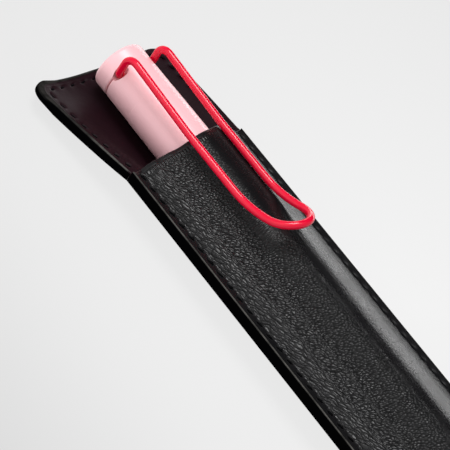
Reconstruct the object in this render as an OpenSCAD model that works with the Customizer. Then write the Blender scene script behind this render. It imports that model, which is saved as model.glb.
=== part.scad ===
// Single pen sleeve of layered leather, lying on its back, with a capped pen clipped into it.
// +Z is the outward side of the front panel, +Y runs up the sleeve to the tip of its tongue,
// and the origin is under the middle of the sleeve, on the surface that it lies on.

/* [Sleeve] */
// Length of the sleeve, from its bottom edge to the tip of the tongue
sleeve_l = 165; // [158:1:190]
// Length of the tongue that stands above the mouth of the pocket
tongue_l = 30; // [27:1:34]
// Width of the sleeve across its two side edges, with a pen in the pocket
pocket_w = 35.4; // [34:0.2:42]
// Width of the tongue where it has spread out near its tip
tongue_w = 38.6; // [35:0.2:44]
// Height of the side seams over the middle of the lining, in the pocket
seam_rise = 6.5; // [5:0.1:7]
// Height of the tongue's side edges over its middle, at the tip
tongue_rise = 2.4; // [0.5:0.1:5]
// Width of the flat strip down the middle of the back
keel_w = 8; // [4:0.5:12]
// Width of the flat margin in which the panels are sewn together
margin_w = 2.6; // [2.4:0.1:4]
// Length over which the bottom of the pocket closes from the pen down to flat
closing_l = 22; // [16:1:26]
// Corner radius at the tip of the tongue
tip_corner_r = 4; // [2:0.5:8]
// Corner radius at the bottom of the sleeve
bottom_corner_r = 7; // [3:0.5:10]

/* [Leather] */
// Thickness of the outer leather of the back
back_t = 1.0; // [0.8:0.1:1.4]
// Thickness of the stiffening sheet inside the back
core_t = 0.4; // [0.2:0.1:0.8]
// Thickness of the lining leather
lining_t = 1.0; // [0.6:0.1:1.4]
// Thickness of the front panel
front_t = 0.8; // [0.6:0.1:1.2]
// Thickness left for the adhesive between two layers
glue_t = 0.05; // [0.02:0.01:0.1]
// Depth to which the back's outer leather is pared away along its two ends
skive_depth = 0.75; // [0.65:0.01:0.78]
// Length of the pared ends
skive_l = 8; // [7:0.5:10]

/* [Stitching] */
// Distance of the stitch row from the edge
stitch_inset = 1.8; // [1.4:0.1:2.2]
// Diameter of the thread
thread_d = 0.5; // [0.3:0.05:0.55]
// Depth of the groove that sinks the tongue's thread where the pen slides over it
groove_depth = 0.5; // [0.4:0.05:0.6]

/* [Pen cap] */
// Outer diameter of the cap
cap_d = 13.1; // [12:0.1:13.6]
// Outer diameter of the cap at its top
cap_top_d = 12.7; // [11.8:0.1:13]
// Length of the cap without its head
cap_l = 62; // [56:1:70]
// Wall of the cap
cap_wall = 1.3; // [1:0.1:1.5]
// Thickness of the closed top of the cap
cap_top_t = 1.6; // [1.2:0.1:2.4]
// Height of the head above the cap
head_l = 4.4; // [4:0.1:6]
// Rounding of the head's top edge
head_round = 1.1; // [0.4:0.1:1.6]
// Groove between the cap and its head
head_gap = 0.3; // [0.2:0.05:0.5]
// Height of the cap's top over the mouth of the pocket
cap_stand = 26.5; // [24:0.5:28]
// Diameter of the stem that holds the head
stem_d = 2; // [1.5:0.1:2.2]
// Length of the liner inside the cap
liner_l = 26; // [18:1:30]
// Wall of the liner
liner_wall = 0.8; // [0.6:0.1:1]

/* [Clip] */
// Diameter of the clip's wire
wire_d = 1.8; // [1.4:0.1:2]
// Distance between the middles of the two wires
wire_gap = 10.3; // [9.6:0.1:10.5]
// Height of the wires over the pen's axis, at the top bend
clip_top_h = 9.2; // [8.9:0.1:10.5]
// Height of the wires over the pen's axis, along the panel
clip_low_h = 8.2; // [8:0.1:9]
// Length of the clip below the cap's holes
clip_l = 53.4; // [44:0.2:56]
// Length of the end that curves away from the panel
kick_l = 15.5; // [12:0.5:20]
// Height by which the end curves away from the panel
kick_h = 5.5; // [1:0.1:6]
// Bend radius where a wire turns over the top of the cap
bend_r = 2.5; // [1.5:0.1:3]
// Bend radius of the feet inside the head
foot_r = 1.6; // [1.2:0.1:1.8]
// Half of the gap between the two feet
foot_gap = 1.2; // [0.8:0.1:2]
// Height of the feet over the pen's axis
foot_h = 2.4; // [2.2:0.1:2.6]

/* [Pen barrel] */
// Length of the barrel that stays outside the cap
barrel_l = 72; // [60:1:74]
// Outer diameter of the barrel at the cap
barrel_d = 12.4; // [11.6:0.1:12.8]
// Outer diameter of the barrel at its end
barrel_end_d = 10.6; // [9:0.1:11.4]
// Wall of the barrel
barrel_wall = 1.3; // [1:0.1:1.5]
// Length of the thread that joins grip and barrel
screw_l = 10; // [8:0.5:14]
// Length of the grip outside the barrel
grip_l = 34; // [28:1:36]
// Diameter of the grip
grip_d = 9.6; // [8.6:0.1:9.8]
// Diameter of the grip's nose
nose_d = 3.4; // [3:0.1:4.2]
// Length of the cone that ends the grip
nose_l = 9; // [6:0.5:12]
// Diameter of the refill
refill_d = 6; // [5:0.1:6.2]
// Length of the refill behind its tip
refill_l = 92; // [80:1:96]
// Diameter of the refill's tip
tip_d = 2.4; // [2:0.1:2.6]
// Length of the refill's tip
tip_l = 12; // [11:0.5:13]

/* [Fits] */
// Clearance of the pen in the pocket
pocket_fit = 0.25; // [0.2:0.05:0.5]
// Clearance between the parts of the pen
pen_fit = 0.25; // [0.2:0.05:0.35]
// Clearance of a wire in its hole
hole_fit = 0.2; // [0.15:0.05:0.25]
// Gap between a thread and the leather that it lies on
thread_fit = 0.1; // [0.05:0.01:0.1]

/* [Hidden] */
$fn = 64;

leather_black = "#171516";
lining_brown = "#24161a";
core_grey = "#4a4644";
thread_black = "#0d0c0d";
cap_pink = "#eca7ad";
clip_red = "#e01334";
grip_grey = "#3a3638";
steel = "silver";

tip_y = sleeve_l / 2;
mouth_y = tip_y - tongue_l;
bottom_y = -sleeve_l / 2;
flat_y = bottom_y + margin_w;
closing_y = flat_y + closing_l;
half_w = pocket_w / 2;
tip_half_w = tongue_w / 2;
keel_half = keel_w / 2;

lining_top = back_t + core_t + lining_t + 2 * glue_t;
pen_z = lining_top + pocket_fit + cap_d / 2;
crown_r = cap_d / 2 + pocket_fit;

// Rise and fall of a curve with straight middle and rounded ends, from 0 to 1
soften = 0.2;
function ease(u) =
    u <= 0 ? 0 :
    u >= 1 ? 1 :
    u < soften ? u * u / (2 * soften * (1 - soften)) :
    u > 1 - soften ? 1 - (1 - u) * (1 - u) / (2 * soften * (1 - soften)) :
    (u - soften / 2) / (1 - soften);

// How far a place has come along the tongue, and along the closing bottom, from 0 to 1
function along_tongue(y) = max(0, (y - mouth_y) / tongue_l);
function closed(y) = y >= closing_y ? 0 : ease((closing_y - y) / closing_l);

// Half width of the sleeve before its corners are cut, which grows where the leather lies flatter
function edge_x(y) =
    half_w + (tip_half_w - half_w) * max(sin(90 * along_tongue(y)), closed(y));

// Height of the side edges over the keel
function edge_rise(y) =
    (seam_rise + (tongue_rise - seam_rise) * along_tongue(y)) * (1 - closed(y));

// Half width after the round corners at the tip and at the bottom
function corner_cut(d, r) = d >= r ? 0 : r - sqrt(max(0, r * r - (r - d) * (r - d)));
function cut_x(y) =
    edge_x(y) - corner_cut(tip_y - y, tip_corner_r) - corner_cut(y - bottom_y, bottom_corner_r);

// Section of the lining's upper face: flat keel, flank, and flat margin, which opens to a bow on the tongue
function back_z(x, y) =
    let (
        a = max(0, abs(x) - keel_half),
        flank = ease(a / (edge_x(y) - margin_w - keel_half)),
        bow = pow(min(1, a / (edge_x(y) - keel_half)), 2),
        t = along_tongue(y)
    )
    lining_top + edge_rise(y) * (flank * (1 - t) + bow * t);

// Section of the front panel's inner face: a crown round the pen and two straight flanks
seat_z = lining_top + seam_rise + glue_t;
seat_x = half_w - margin_w;
seat_drop = pen_z - seat_z;
seat_dist = norm([seat_x, seat_drop]);
touch_angle = acos(crown_r / seat_dist) - atan2(seat_drop, seat_x);
touch_x = crown_r * cos(touch_angle);
touch_z = seat_drop + crown_r * sin(touch_angle);
function front_rise(x) =
    abs(x) >= seat_x ? 0 :
    abs(x) >= touch_x ? touch_z * (seat_x - abs(x)) / (seat_x - touch_x) :
    seat_drop + sqrt(crown_r * crown_r - x * x);
function front_z(x, y) =
    lining_top + edge_rise(y) + glue_t + (1 - closed(y)) * front_rise(x * half_w / edge_x(y));

// A point moved off a section, square to it
probe = 0.01;
function square_off(x, y, z0, z1, z2, d) =
    let (n = [z0 - z2, 2 * probe] / norm([z0 - z2, 2 * probe]))
    [x + d * n.x, y, z1 + d * n.y];
function off_back(x, y, d) =
    square_off(x, y, back_z(x - probe, y), back_z(x, y), back_z(x + probe, y), d);
function off_front(x, y, d) =
    square_off(x, y, front_z(x - probe, y), front_z(x, y), front_z(x + probe, y), d);

// Stations along the sleeve, close together where its shape changes
corner_steps = 5;
closing_steps = 9;
tongue_steps = 6;
bottom_ys = [for (i = [0 : corner_steps - 1]) bottom_y + bottom_corner_r * (1 - cos(90 * i / corner_steps))];
closing_ys = [
    for (i = [0 : closing_steps])
        let (y = bottom_y + bottom_corner_r + (closing_y - bottom_y - bottom_corner_r) * i / closing_steps) y
];
tongue_ys = [for (i = [0 : tongue_steps - 1]) mouth_y + (tongue_l - skive_l) * i / tongue_steps];
tip_ys = [for (i = [0 : corner_steps]) tip_y - skive_l + (skive_l - tip_corner_r) * min(1, i)
    + tip_corner_r * (i == 0 ? 0 : sin(90 * i / corner_steps))];
pocket_ys = concat(bottom_ys, closing_ys, [mouth_y]);
sleeve_ys = concat(bottom_ys, closing_ys, tongue_ys, tip_ys);

// Places across a section, as shares of its half width
flank_steps = 8;
crown_steps = 5;
back_shares = concat([0], [for (i = [0 : flank_steps]) share_of_flank(i / flank_steps)], [1]);
function share_of_flank(u) = (keel_half + u * (half_w - margin_w - keel_half)) / half_w;
front_shares = concat(
    [for (i = [0 : crown_steps]) touch_x * i / crown_steps / half_w],
    [for (i = [1 : 3]) (touch_x + (seat_x - touch_x) * i / 3) / half_w],
    [1]
);
function both_sides(shares) =
    concat([for (i = [len(shares) - 1 : -1 : 1]) -shares[i]], shares);
back_across = both_sides(back_shares);
front_across = both_sides(front_shares);

// A sheet between two grids of points, which have rows along X and columns along Y
module sheet(top, bottom) {
    m = len(top);
    n = len(top[0]);
    points = [for (grid = [top, bottom]) for (row = grid) for (p = row) p];
    function at(i, j, side) = side * m * n + i * n + j;
    over = [
        for (i = [0 : m - 2]) for (j = [0 : n - 2]) for (f = [
            [at(i, j, 0), at(i + 1, j, 0), at(i + 1, j + 1, 0)],
            [at(i, j, 0), at(i + 1, j + 1, 0), at(i, j + 1, 0)],
            [at(i, j, 1), at(i + 1, j + 1, 1), at(i + 1, j, 1)],
            [at(i, j, 1), at(i, j + 1, 1), at(i + 1, j + 1, 1)]
        ]) f
    ];
    sides = [
        for (i = [0 : m - 2]) for (f = [
            [at(i + 1, 0, 1), at(i + 1, 0, 0), at(i, 0, 0)],
            [at(i + 1, 0, 1), at(i, 0, 0), at(i, 0, 1)],
            [at(i, n - 1, 1), at(i, n - 1, 0), at(i + 1, n - 1, 0)],
            [at(i, n - 1, 1), at(i + 1, n - 1, 0), at(i + 1, n - 1, 1)]
        ]) f
    ];
    ends = [
        for (j = [0 : n - 2]) for (f = [
            [at(0, j, 1), at(0, j, 0), at(0, j + 1, 0)],
            [at(0, j, 1), at(0, j + 1, 0), at(0, j + 1, 1)],
            [at(m - 1, j, 1), at(m - 1, j + 1, 1), at(m - 1, j + 1, 0)],
            [at(m - 1, j, 1), at(m - 1, j + 1, 0), at(m - 1, j, 0)]
        ]) f
    ];
    polyhedron(points, concat(over, sides, ends), convexity = 8);
}

function back_grid(depth_of) = [
    for (y = sleeve_ys) [for (s = back_across) off_back(s * cut_x(y), y, -depth_of(y))]
];
function front_grid(lift) = [
    for (y = pocket_ys) [for (s = front_across) off_front(s * cut_x(y), y, lift)]
];

// How much of the back's outer leather is pared away at a station
pared_flat = stitch_inset + thread_d + thread_fit;
function skive(y) = skive_depth * max(
    1 - ease((tip_y - y - pared_flat) / (skive_l - pared_flat)),
    1 - ease((y - bottom_y - pared_flat) / (skive_l - pared_flat))
);

// A round tube along points, closed on itself or open
function unit(v) = v / norm(v);
function carry(ts, n, i = 0) =
    i == len(ts) ? [] :
    let (m = unit(n - (n * ts[i]) * ts[i])) concat([m], carry(ts, m, i + 1));
module tube(path, r, sides, start_normal) {
    count = len(path);
    ts = [for (i = [0 : count - 1]) unit(path[min(i + 1, count - 1)] - path[max(i - 1, 0)])];
    ns = carry(ts, start_normal);
    points = [
        for (i = [0 : count - 1]) for (k = [0 : sides - 1])
            path[i] + r * (cos(360 * k / sides) * ns[i] + sin(360 * k / sides) * cross(ts[i], ns[i]))
    ];
    walls = [
        for (i = [0 : count - 2]) for (k = [0 : sides - 1])
            let (a = i * sides + k, b = i * sides + (k + 1) % sides) for (f = [
                [a, a + sides, b + sides],
                [a, b + sides, b]
            ]) f
    ];
    caps = [
        for (k = [1 : sides - 2]) for (f = [
            [0, k, k + 1],
            [(count - 1) * sides, (count - 1) * sides + k + 1, (count - 1) * sides + k]
        ]) f
    ];
    polyhedron(points, concat(walls, caps), convexity = 8);
}

// The sewn panels and the three layers of the back
module back_leather() {
    color(leather_black)
        sheet(
            back_grid(function (y) lining_t + core_t + 2 * glue_t),
            back_grid(function (y) lining_top - skive(y))
        );
}

module back_core() {
    color(core_grey)
        sheet(
            back_grid(function (y) lining_t + glue_t),
            back_grid(function (y) lining_t + glue_t + core_t)
        );
}

module back_lining() {
    color(lining_brown)
        difference() {
            sheet(
                back_grid(function (y) 0),
                back_grid(function (y) lining_t)
            );
            translate([-groove_l / 2, tip_row_y - groove_w / 2, lining_top - groove_depth])
                cube([groove_l, groove_w, lining_t]);
        }
}

module front_leather() {
    color(leather_black)
        sheet(front_grid(front_t), front_grid(0));
}

// Stitch rows, each drawn as the unbroken line of thread that its stitches follow
thread_sides = 6;
thread_lift = thread_d / 2 + thread_fit;
thread_corner_r = bottom_corner_r - stitch_inset;
tip_row_r = max(1, tip_corner_r - stitch_inset);
row_end = 0.4;
row_steps = 5;
function row_x(y) = edge_x(y) - stitch_inset;

// The groove runs across the tongue's tip, longer than the stretch that lies sunk in it
groove_l = keel_w + 3;
groove_w = thread_d + 4 * thread_fit;
sunk_half = keel_half - 0.6;
risen_half = groove_l / 2 - thread_d;

// The right half of the pocket's row in plan, from the mouth to the middle of the bottom
bottom_row_y = bottom_y + stitch_inset;
pocket_row_ys = concat(
    [mouth_y - row_end],
    [for (i = [len(closing_ys) - 1 : -1 : 0]) closing_ys[i]]
);
function corner_row(corner_y, r, step) = [
    for (i = [1 : row_steps])
        let (a = 90 * i / row_steps)
        [row_x(corner_y) - r * (1 - cos(a)), corner_y + step * r * sin(a)]
];
bottom_turn_y = bottom_row_y + thread_corner_r;
pocket_row = concat(
    [for (y = pocket_row_ys) if (y > bottom_turn_y) [row_x(y), y]],
    [[row_x(bottom_turn_y), bottom_turn_y]],
    corner_row(bottom_turn_y, thread_corner_r, -1)
);
tip_row_y = tip_y - stitch_inset;
tip_turn_y = tip_row_y - tip_row_r;
tongue_row_ys = concat(
    [mouth_y + row_end],
    [for (i = [1 : tongue_steps - 1]) tongue_ys[i]],
    [tip_y - skive_l]
);
tongue_row = concat(
    [for (y = tongue_row_ys) if (y < tip_turn_y) [row_x(y), y]],
    [[row_x(tip_turn_y), tip_turn_y]],
    corner_row(tip_turn_y, tip_row_r, 1),
    [[row_x(tip_y) * 2 / 3, tip_row_y]],
    [[groove_l / 2, tip_row_y], [risen_half, tip_row_y], [sunk_half, tip_row_y]]
);
function mirrored(row) = [for (i = [len(row) - 1 : -1 : 0]) [-row[i].x, row[i].y]];
function whole(row) = concat(row, mirrored(row));

function on_front(p) = off_front(p.x, p.y, front_t + thread_lift);
function sunk(p) =
    p.y < tip_row_y ? 0 :
    groove_depth * (1 - ease((abs(p.x) - sunk_half) / (risen_half - sunk_half)));
function on_lining(p) = off_back(p.x, p.y, thread_lift - sunk(p));
function under_back(p) = off_back(p.x, p.y, -(lining_top - skive(p.y) + thread_lift));

module pocket_thread() {
    color(thread_black)
        tube([for (p = whole(pocket_row)) on_front(p)], thread_d / 2, thread_sides, [1, 0, 0]);
}

module tongue_thread() {
    color(thread_black)
        tube([for (p = whole(tongue_row)) on_lining(p)], thread_d / 2, thread_sides, [1, 0, 0]);
}

module back_thread() {
    color(thread_black) {
        tube([for (p = whole(pocket_row)) under_back(p)], thread_d / 2, thread_sides, [1, 0, 0]);
        tube([for (p = whole(tongue_row)) under_back(p)], thread_d / 2, thread_sides, [1, 0, 0]);
    }
}

// Places along the pen
cap_top_y = mouth_y + cap_stand - head_l - head_gap;
cap_mouth_y = cap_top_y - cap_l;
head_y = cap_top_y + head_gap;
hole_y = cap_top_y;
barrel_top_y = cap_mouth_y - pen_fit;
barrel_end_y = barrel_top_y - barrel_l;
cap_r = cap_d / 2;
cap_top_r = cap_top_d / 2;
cap_in_r = cap_r - cap_wall;
liner_r = cap_in_r - pen_fit;
liner_in_r = liner_r - liner_wall;
cap_shoulder_y = mouth_y;
wire_r = wire_d / 2;
hole_r = wire_r + hole_fit;
hole_x = wire_gap / 2;
foot_room = wire_r + pen_fit;
cap_inside_y = cap_top_y - cap_top_t;
collar_l = 2;

// Turns an outline of radius against length round the pen's axis
module turned(outline) {
    translate([0, 0, pen_z])
        rotate([-90, 0, 0])
            rotate_extrude()
                polygon([for (p = outline) [p.x, p.y]]);
}

// Holes for the wires and the slot for their feet, with mouths that run out of the head
module wire_holes() {
    for (side = [-1, 1])
        translate([side * hole_x, hole_y, pen_z + foot_h - wire_r / 2])
            cylinder(h = cap_r, r = hole_r);
    translate([-hole_x - wire_r / 2, hole_y - foot_room, pen_z + foot_h - foot_room])
        cube([wire_gap + wire_r, 2 * foot_room, 2 * foot_room]);
}

module pen_cap() {
    color(cap_pink)
        difference() {
            turned([
                [cap_in_r, cap_mouth_y],
                [cap_r, cap_mouth_y],
                [cap_r, cap_shoulder_y],
                [cap_top_r, cap_top_y],
                [stem_d / 2 + pen_fit, cap_top_y],
                [stem_d / 2 + pen_fit, cap_inside_y],
                [cap_in_r, cap_inside_y]
            ]);
            wire_holes();
        }
}

module pen_cap_head() {
    dome_y = head_y + head_l;
    color(cap_pink)
        difference() {
            turned(concat(
                [[0, head_y - head_gap - cap_top_t], [stem_d / 2, head_y - head_gap - cap_top_t]],
                [[stem_d / 2, head_y], [cap_top_r, head_y]],
                [for (i = [0 : 6]) let (a = 90 * i / 6) [
                    cap_top_r - head_round * (1 - cos(a)),
                    dome_y - head_round * (1 - sin(a))
                ]],
                [[0, dome_y]]
            ));
            wire_holes();
        }
}

module pen_cap_liner() {
    liner_top_y = cap_inside_y - pen_fit;
    color(grip_grey)
        turned([
            [liner_in_r, liner_top_y - liner_l],
            [liner_r, liner_top_y - liner_l],
            [liner_r, liner_top_y],
            [0, liner_top_y],
            [0, liner_top_y - liner_wall],
            [liner_in_r, liner_top_y - liner_wall]
        ]);
}

// One half of the clip's wire, from the end of its foot to the middle of the loop
bend_steps = 6;
run_steps = 2;
kick_steps = 5;
loop_steps = 8;
clip_end_y = hole_y - clip_l;
loop_r = hole_x;
kick_y = clip_end_y + kick_l;
loop_y = clip_end_y + loop_r;
function clip_h(y) =
    y >= mouth_y ? clip_low_h + (clip_top_h - clip_low_h) * (y - mouth_y) / (hole_y - bend_r - mouth_y) :
    y >= kick_y ? clip_low_h :
    clip_low_h + kick_h * pow((kick_y - y) / kick_l, 2);
half_clip = concat(
    [[foot_gap, hole_y, foot_h]],
    [for (i = [0 : bend_steps]) let (a = 90 * i / bend_steps)
        [hole_x - foot_r + foot_r * sin(a), hole_y, foot_h + foot_r * (1 - cos(a))]],
    [for (i = [0 : bend_steps]) let (a = 90 * i / bend_steps)
        [hole_x, hole_y - bend_r * (1 - cos(a)), clip_top_h - bend_r * (1 - sin(a))]],
    [for (i = [1 : run_steps]) let (y = hole_y - bend_r + (mouth_y - hole_y + bend_r) * i / run_steps)
        [hole_x, y, clip_h(y)]],
    [for (i = [0 : kick_steps]) let (y = kick_y + (loop_y - kick_y) * i / kick_steps)
        [hole_x, y, clip_h(y)]],
    [for (i = [1 : loop_steps]) let (a = 90 * i / loop_steps, y = loop_y - loop_r * sin(a))
        [loop_r * cos(a), y, clip_h(y)]]
);
clip_path = concat(
    half_clip,
    [for (i = [len(half_clip) - 2 : -1 : 0]) [-half_clip[i].x, half_clip[i].y, half_clip[i].z]]
);
clip_sides = 12;

module pen_clip() {
    color(clip_red)
        translate([0, 0, pen_z])
            tube(clip_path, wire_r, clip_sides, [0, 1, 0]);
}

// The barrel, the grip that screws into it, and the refill
barrel_r = barrel_d / 2;
barrel_in_r = barrel_r - barrel_wall;
grip_r = grip_d / 2;
barrel_end_r = barrel_end_d / 2;
barrel_round = 1.5;
refill_r = refill_d / 2;
screw_r = barrel_in_r - pen_fit;
bore_r = refill_r + pen_fit;
grip_top_y = barrel_top_y + collar_l + grip_l;
tip_r = tip_d / 2;
refill_top_y = grip_top_y - nose_l;
seal_t = 1;

module pen_barrel() {
    inner_end_r = barrel_end_r - barrel_wall;
    color(cap_pink)
        turned(concat(
            [[0, barrel_end_y], [barrel_end_r - barrel_round, barrel_end_y]],
            [for (i = [1 : 5]) let (a = 90 * i / 5) [
                barrel_end_r - barrel_round * (1 - sin(a)),
                barrel_end_y + barrel_round * (1 - cos(a))
            ]],
            [[barrel_r, barrel_end_y + barrel_l / 2], [barrel_r, barrel_top_y]],
            [[barrel_in_r, barrel_top_y], [barrel_in_r, barrel_top_y - screw_l - pen_fit]],
            [[inner_end_r, barrel_top_y - barrel_l / 2], [inner_end_r, barrel_end_y + barrel_wall]],
            [[0, barrel_end_y + barrel_wall]]
        ));
}

module pen_grip() {
    collar_r = cap_in_r - pen_fit;
    collar_y = barrel_top_y + seal_t;
    color(grip_grey)
        turned([
            [bore_r, barrel_top_y - screw_l],
            [screw_r, barrel_top_y - screw_l],
            [screw_r, barrel_top_y],
            [grip_r - seal_t, barrel_top_y],
            [grip_r - seal_t, collar_y],
            [collar_r, collar_y],
            [collar_r, collar_y + collar_l],
            [grip_r, collar_y + collar_l],
            [grip_r - seal_t, refill_top_y],
            [nose_d / 2, grip_top_y],
            [tip_r + pen_fit, grip_top_y],
            [tip_r + pen_fit, refill_top_y],
            [bore_r, refill_top_y - bore_r]
        ]);
}

module pen_seal_ring() {
    color(thread_black)
        translate([0, barrel_top_y + seal_t / 2, pen_z])
            rotate([-90, 0, 0])
                rotate_extrude()
                    translate([grip_r - seal_t / 2 + pen_fit / 2, 0])
                        circle(d = seal_t - pen_fit);
}

module pen_refill() {
    color(steel)
        turned([
            [0, refill_top_y - bore_r - refill_l],
            [refill_r, refill_top_y - bore_r - refill_l],
            [refill_r, refill_top_y - bore_r - pen_fit],
            [0, refill_top_y - bore_r - pen_fit]
        ]);
}

module pen_refill_tip() {
    ball_r = 0.4;
    color(steel)
        turned([
            [0, refill_top_y - bore_r - pen_fit],
            [tip_r, refill_top_y - bore_r - pen_fit],
            [tip_r, refill_top_y - bore_r - pen_fit + tip_l],
            [ball_r, refill_top_y - bore_r - pen_fit + tip_l + tip_d],
            [0, refill_top_y - bore_r - pen_fit + tip_l + tip_d + ball_r]
        ]);
}

back_leather();
back_core();
back_lining();
front_leather();
pocket_thread();
tongue_thread();
back_thread();
pen_cap();
pen_cap_head();
pen_cap_liner();
pen_clip();
pen_barrel();
pen_grip();
pen_seal_ring();
pen_refill();
pen_refill_tip();
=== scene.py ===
# %% [markdown]
# # A pen sleeve of layered leather
# The sleeve is sewn from a pebbled front panel and a back of three layers, whose smooth lining
# stands up behind the mouth as a tongue. A capped pen sits in it, with its wire clip over the panel.
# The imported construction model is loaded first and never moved: it fixes every place and size, and
# the pieces made here are fitted to it. That way the looks can't drift away from the real object.

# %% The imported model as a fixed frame
import math

import bmesh
import bpy
import numpy as np
from mathutils import Matrix, Vector, noise


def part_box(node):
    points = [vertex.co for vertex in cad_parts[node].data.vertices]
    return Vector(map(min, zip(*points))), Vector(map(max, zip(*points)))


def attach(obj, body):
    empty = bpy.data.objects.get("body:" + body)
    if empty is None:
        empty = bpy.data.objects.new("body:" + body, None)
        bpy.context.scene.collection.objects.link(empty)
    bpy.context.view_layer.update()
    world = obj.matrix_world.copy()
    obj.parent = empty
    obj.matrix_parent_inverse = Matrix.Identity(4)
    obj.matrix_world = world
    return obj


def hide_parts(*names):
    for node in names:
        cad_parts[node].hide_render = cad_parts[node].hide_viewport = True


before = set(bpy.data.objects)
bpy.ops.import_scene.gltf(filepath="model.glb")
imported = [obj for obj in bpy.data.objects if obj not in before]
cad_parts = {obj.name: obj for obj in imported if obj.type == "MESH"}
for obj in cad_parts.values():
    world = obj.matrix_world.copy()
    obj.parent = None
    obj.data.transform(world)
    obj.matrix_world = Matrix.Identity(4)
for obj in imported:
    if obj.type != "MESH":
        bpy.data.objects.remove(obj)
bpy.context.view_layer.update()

print("nodes in the frame:", len(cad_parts))

# %% [markdown]
# ## Units and sizes
# Leather work is thought of in millimetres, and Blender counts in metres. Every shape below is
# worked out in millimetres, and one helper turns the points into metres when a mesh is made.
# Lengths that the frame knows are read from it. The rest are the pattern's own sizes.

# %% Sizes of the sleeve
MM = 0.001


def box_mm(node):
    low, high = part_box(node)
    return np.array(low) / MM, np.array(high) / MM


tip_y = box_mm("back_lining")[1][1]
bottom_y = box_mm("back_lining")[0][1]
mouth_y = box_mm("front_leather")[1][1]
tongue_l = tip_y - mouth_y

half_w = 17.7
tip_half_w = 19.3
keel_half = 4.0
margin_w = 2.6
seam_rise = 6.5
tongue_rise = 2.4
closing_l = 22.0
closing_y = bottom_y + margin_w + closing_l
tip_corner_r = 4.0
bottom_corner_r = 7.0

back_t = 1.0
core_t = 0.4
lining_t = 1.0
glue_t = 0.05
front_t = 0.75
lining_top = back_t + core_t + lining_t + 2 * glue_t
skive_depth = 0.75
skive_l = 8.0
pared_flat = 2.4
print(f"sleeve {tip_y - bottom_y:.0f} mm long, its tongue {tongue_l:.0f} mm")

# %% Sizes of the pen
cap_low, cap_high = box_mm("pen_cap")
cap_r = (cap_high[0] - cap_low[0]) / 2
pen_z = (cap_high[2] + cap_low[2]) / 2
cap_mouth_y = cap_low[1]
cap_top_y = cap_high[1]
head_end_y = box_mm("pen_cap_head")[1][1]
cap_top_r = 6.35
head_gap = 0.3
head_y = cap_top_y + head_gap
wire_d = 1.8
wire_x = 5.15
hole_y = cap_top_y
hole_r = 1.25
hole_in = 0.25
hole_down = 0.15
print(f"cap {2 * cap_r:.1f} mm across, its axis {pen_z:.2f} mm over the table")

# %% [markdown]
# ## The sleeve's section
# Across the sleeve, the back is a flat keel with two rising flanks and a flat sewing margin. On the
# tongue it opens into a plain bow. The front panel is a crown round the pen with a straight flank on
# each side, as leather is when it is pulled over a tube and sewn down. Each line is a formula of the
# place along and across, so that every layer can be offset from the same surface.

# %% Curves along the sleeve
SOFTEN = 0.2


def ease(u):
    u = np.clip(u, 0.0, 1.0)
    k = 2 * SOFTEN * (1 - SOFTEN)
    straight = (u - SOFTEN / 2) / (1 - SOFTEN)
    return np.where(u < SOFTEN, u * u / k, np.where(u > 1 - SOFTEN, 1 - (1 - u) ** 2 / k, straight))


def along_tongue(y):
    return np.maximum(0.0, (y - mouth_y) / tongue_l)


def closed(y):
    return ease((closing_y - y) / closing_l)


def edge_x(y):
    spread = np.maximum(np.sin(np.radians(90 * along_tongue(y))), closed(y))
    return half_w + (tip_half_w - half_w) * spread


def edge_rise(y):
    return (seam_rise + (tongue_rise - seam_rise) * along_tongue(y)) * (1 - closed(y))


def corner_cut(d, r):
    inside = np.clip(r - d, 0.0, r)
    return r - np.sqrt(r * r - inside * inside)


def cut_x(y):
    cut = corner_cut(tip_y - y, tip_corner_r) + corner_cut(y - bottom_y, bottom_corner_r)
    return edge_x(y) - cut


print(f"half width at the mouth {float(edge_x(mouth_y)):.1f} mm, at the tip {float(edge_x(tip_y)):.1f} mm")

# %% Sections of the back and of the front panel
def back_z(x, y):
    a = np.maximum(0.0, np.abs(x) - keel_half)
    flank = ease(a / (edge_x(y) - margin_w - keel_half))
    bow = np.minimum(1.0, a / (edge_x(y) - keel_half)) ** 2
    t = along_tongue(y)
    return lining_top + edge_rise(y) * (flank * (1 - t) + bow * t)


crown_r = cap_r + 0.06
seat_x = half_w - margin_w
seat_drop = pen_z - (lining_top + seam_rise + glue_t)
seat_dist = math.hypot(seat_x, seat_drop)
touch_angle = math.acos(crown_r / seat_dist) - math.atan2(seat_drop, seat_x)
touch_x = crown_r * math.cos(touch_angle)
touch_z = seat_drop + crown_r * math.sin(touch_angle)


def hump(x, middle, width):
    return np.exp(-(((x - middle) / width) ** 2))


def smooth_step(u):
    u = np.clip(u, 0.0, 1.0)
    return u * u * (3 - 2 * u)


full_at = [0, 1, 2, 3, 4, 5, 6, 8, 10, 11, 12, 13, 14, 15.1]
full_by = [0, 0.035, 0.165, 0.42, 0.69, 0.88, 1.02, 1.20, 1.20, 1.10, 0.94, 0.68, 0.36, 0]


def slack(x, y):
    """How far hand-pulled leather stands off the ideal line.

    It is full on the right flank, more so towards the mouth. Near the mouth it also swells up
    beside the clip's right wire. On the left it is hollow beside the crown and full at the foot.
    """
    right = np.interp(x, full_at, full_by) * np.interp(y, [-10, 8, 18, 32], [0.77, 0.89, 1.0, 1.1])
    beside_wire = 0.6 * hump(x, 4.8, 1.7) * np.interp(y, [24, 31], [0, 1])
    left_foot = 0.6 * smooth_step((-x - 10.0) / 3.0) * (1 - smooth_step((-x - 13.4) / 1.8))
    left_hollow = 0.7 * hump(x, -5.9, 2.3)
    return right + beside_wire + left_foot - left_hollow


def front_z(x, y):
    u = x * half_w / edge_x(y)
    a = np.abs(u)
    crown = seat_drop + np.sqrt(np.maximum(0.0, crown_r**2 - u * u))
    flank = touch_z * (seat_x - a) / (seat_x - touch_x)
    rise = np.where(a >= seat_x, 0.0, np.where(a >= touch_x, flank, crown) + slack(u, y))
    return lining_top + edge_rise(y) + glue_t + (1 - closed(y)) * rise


PROBE = 0.05


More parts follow.
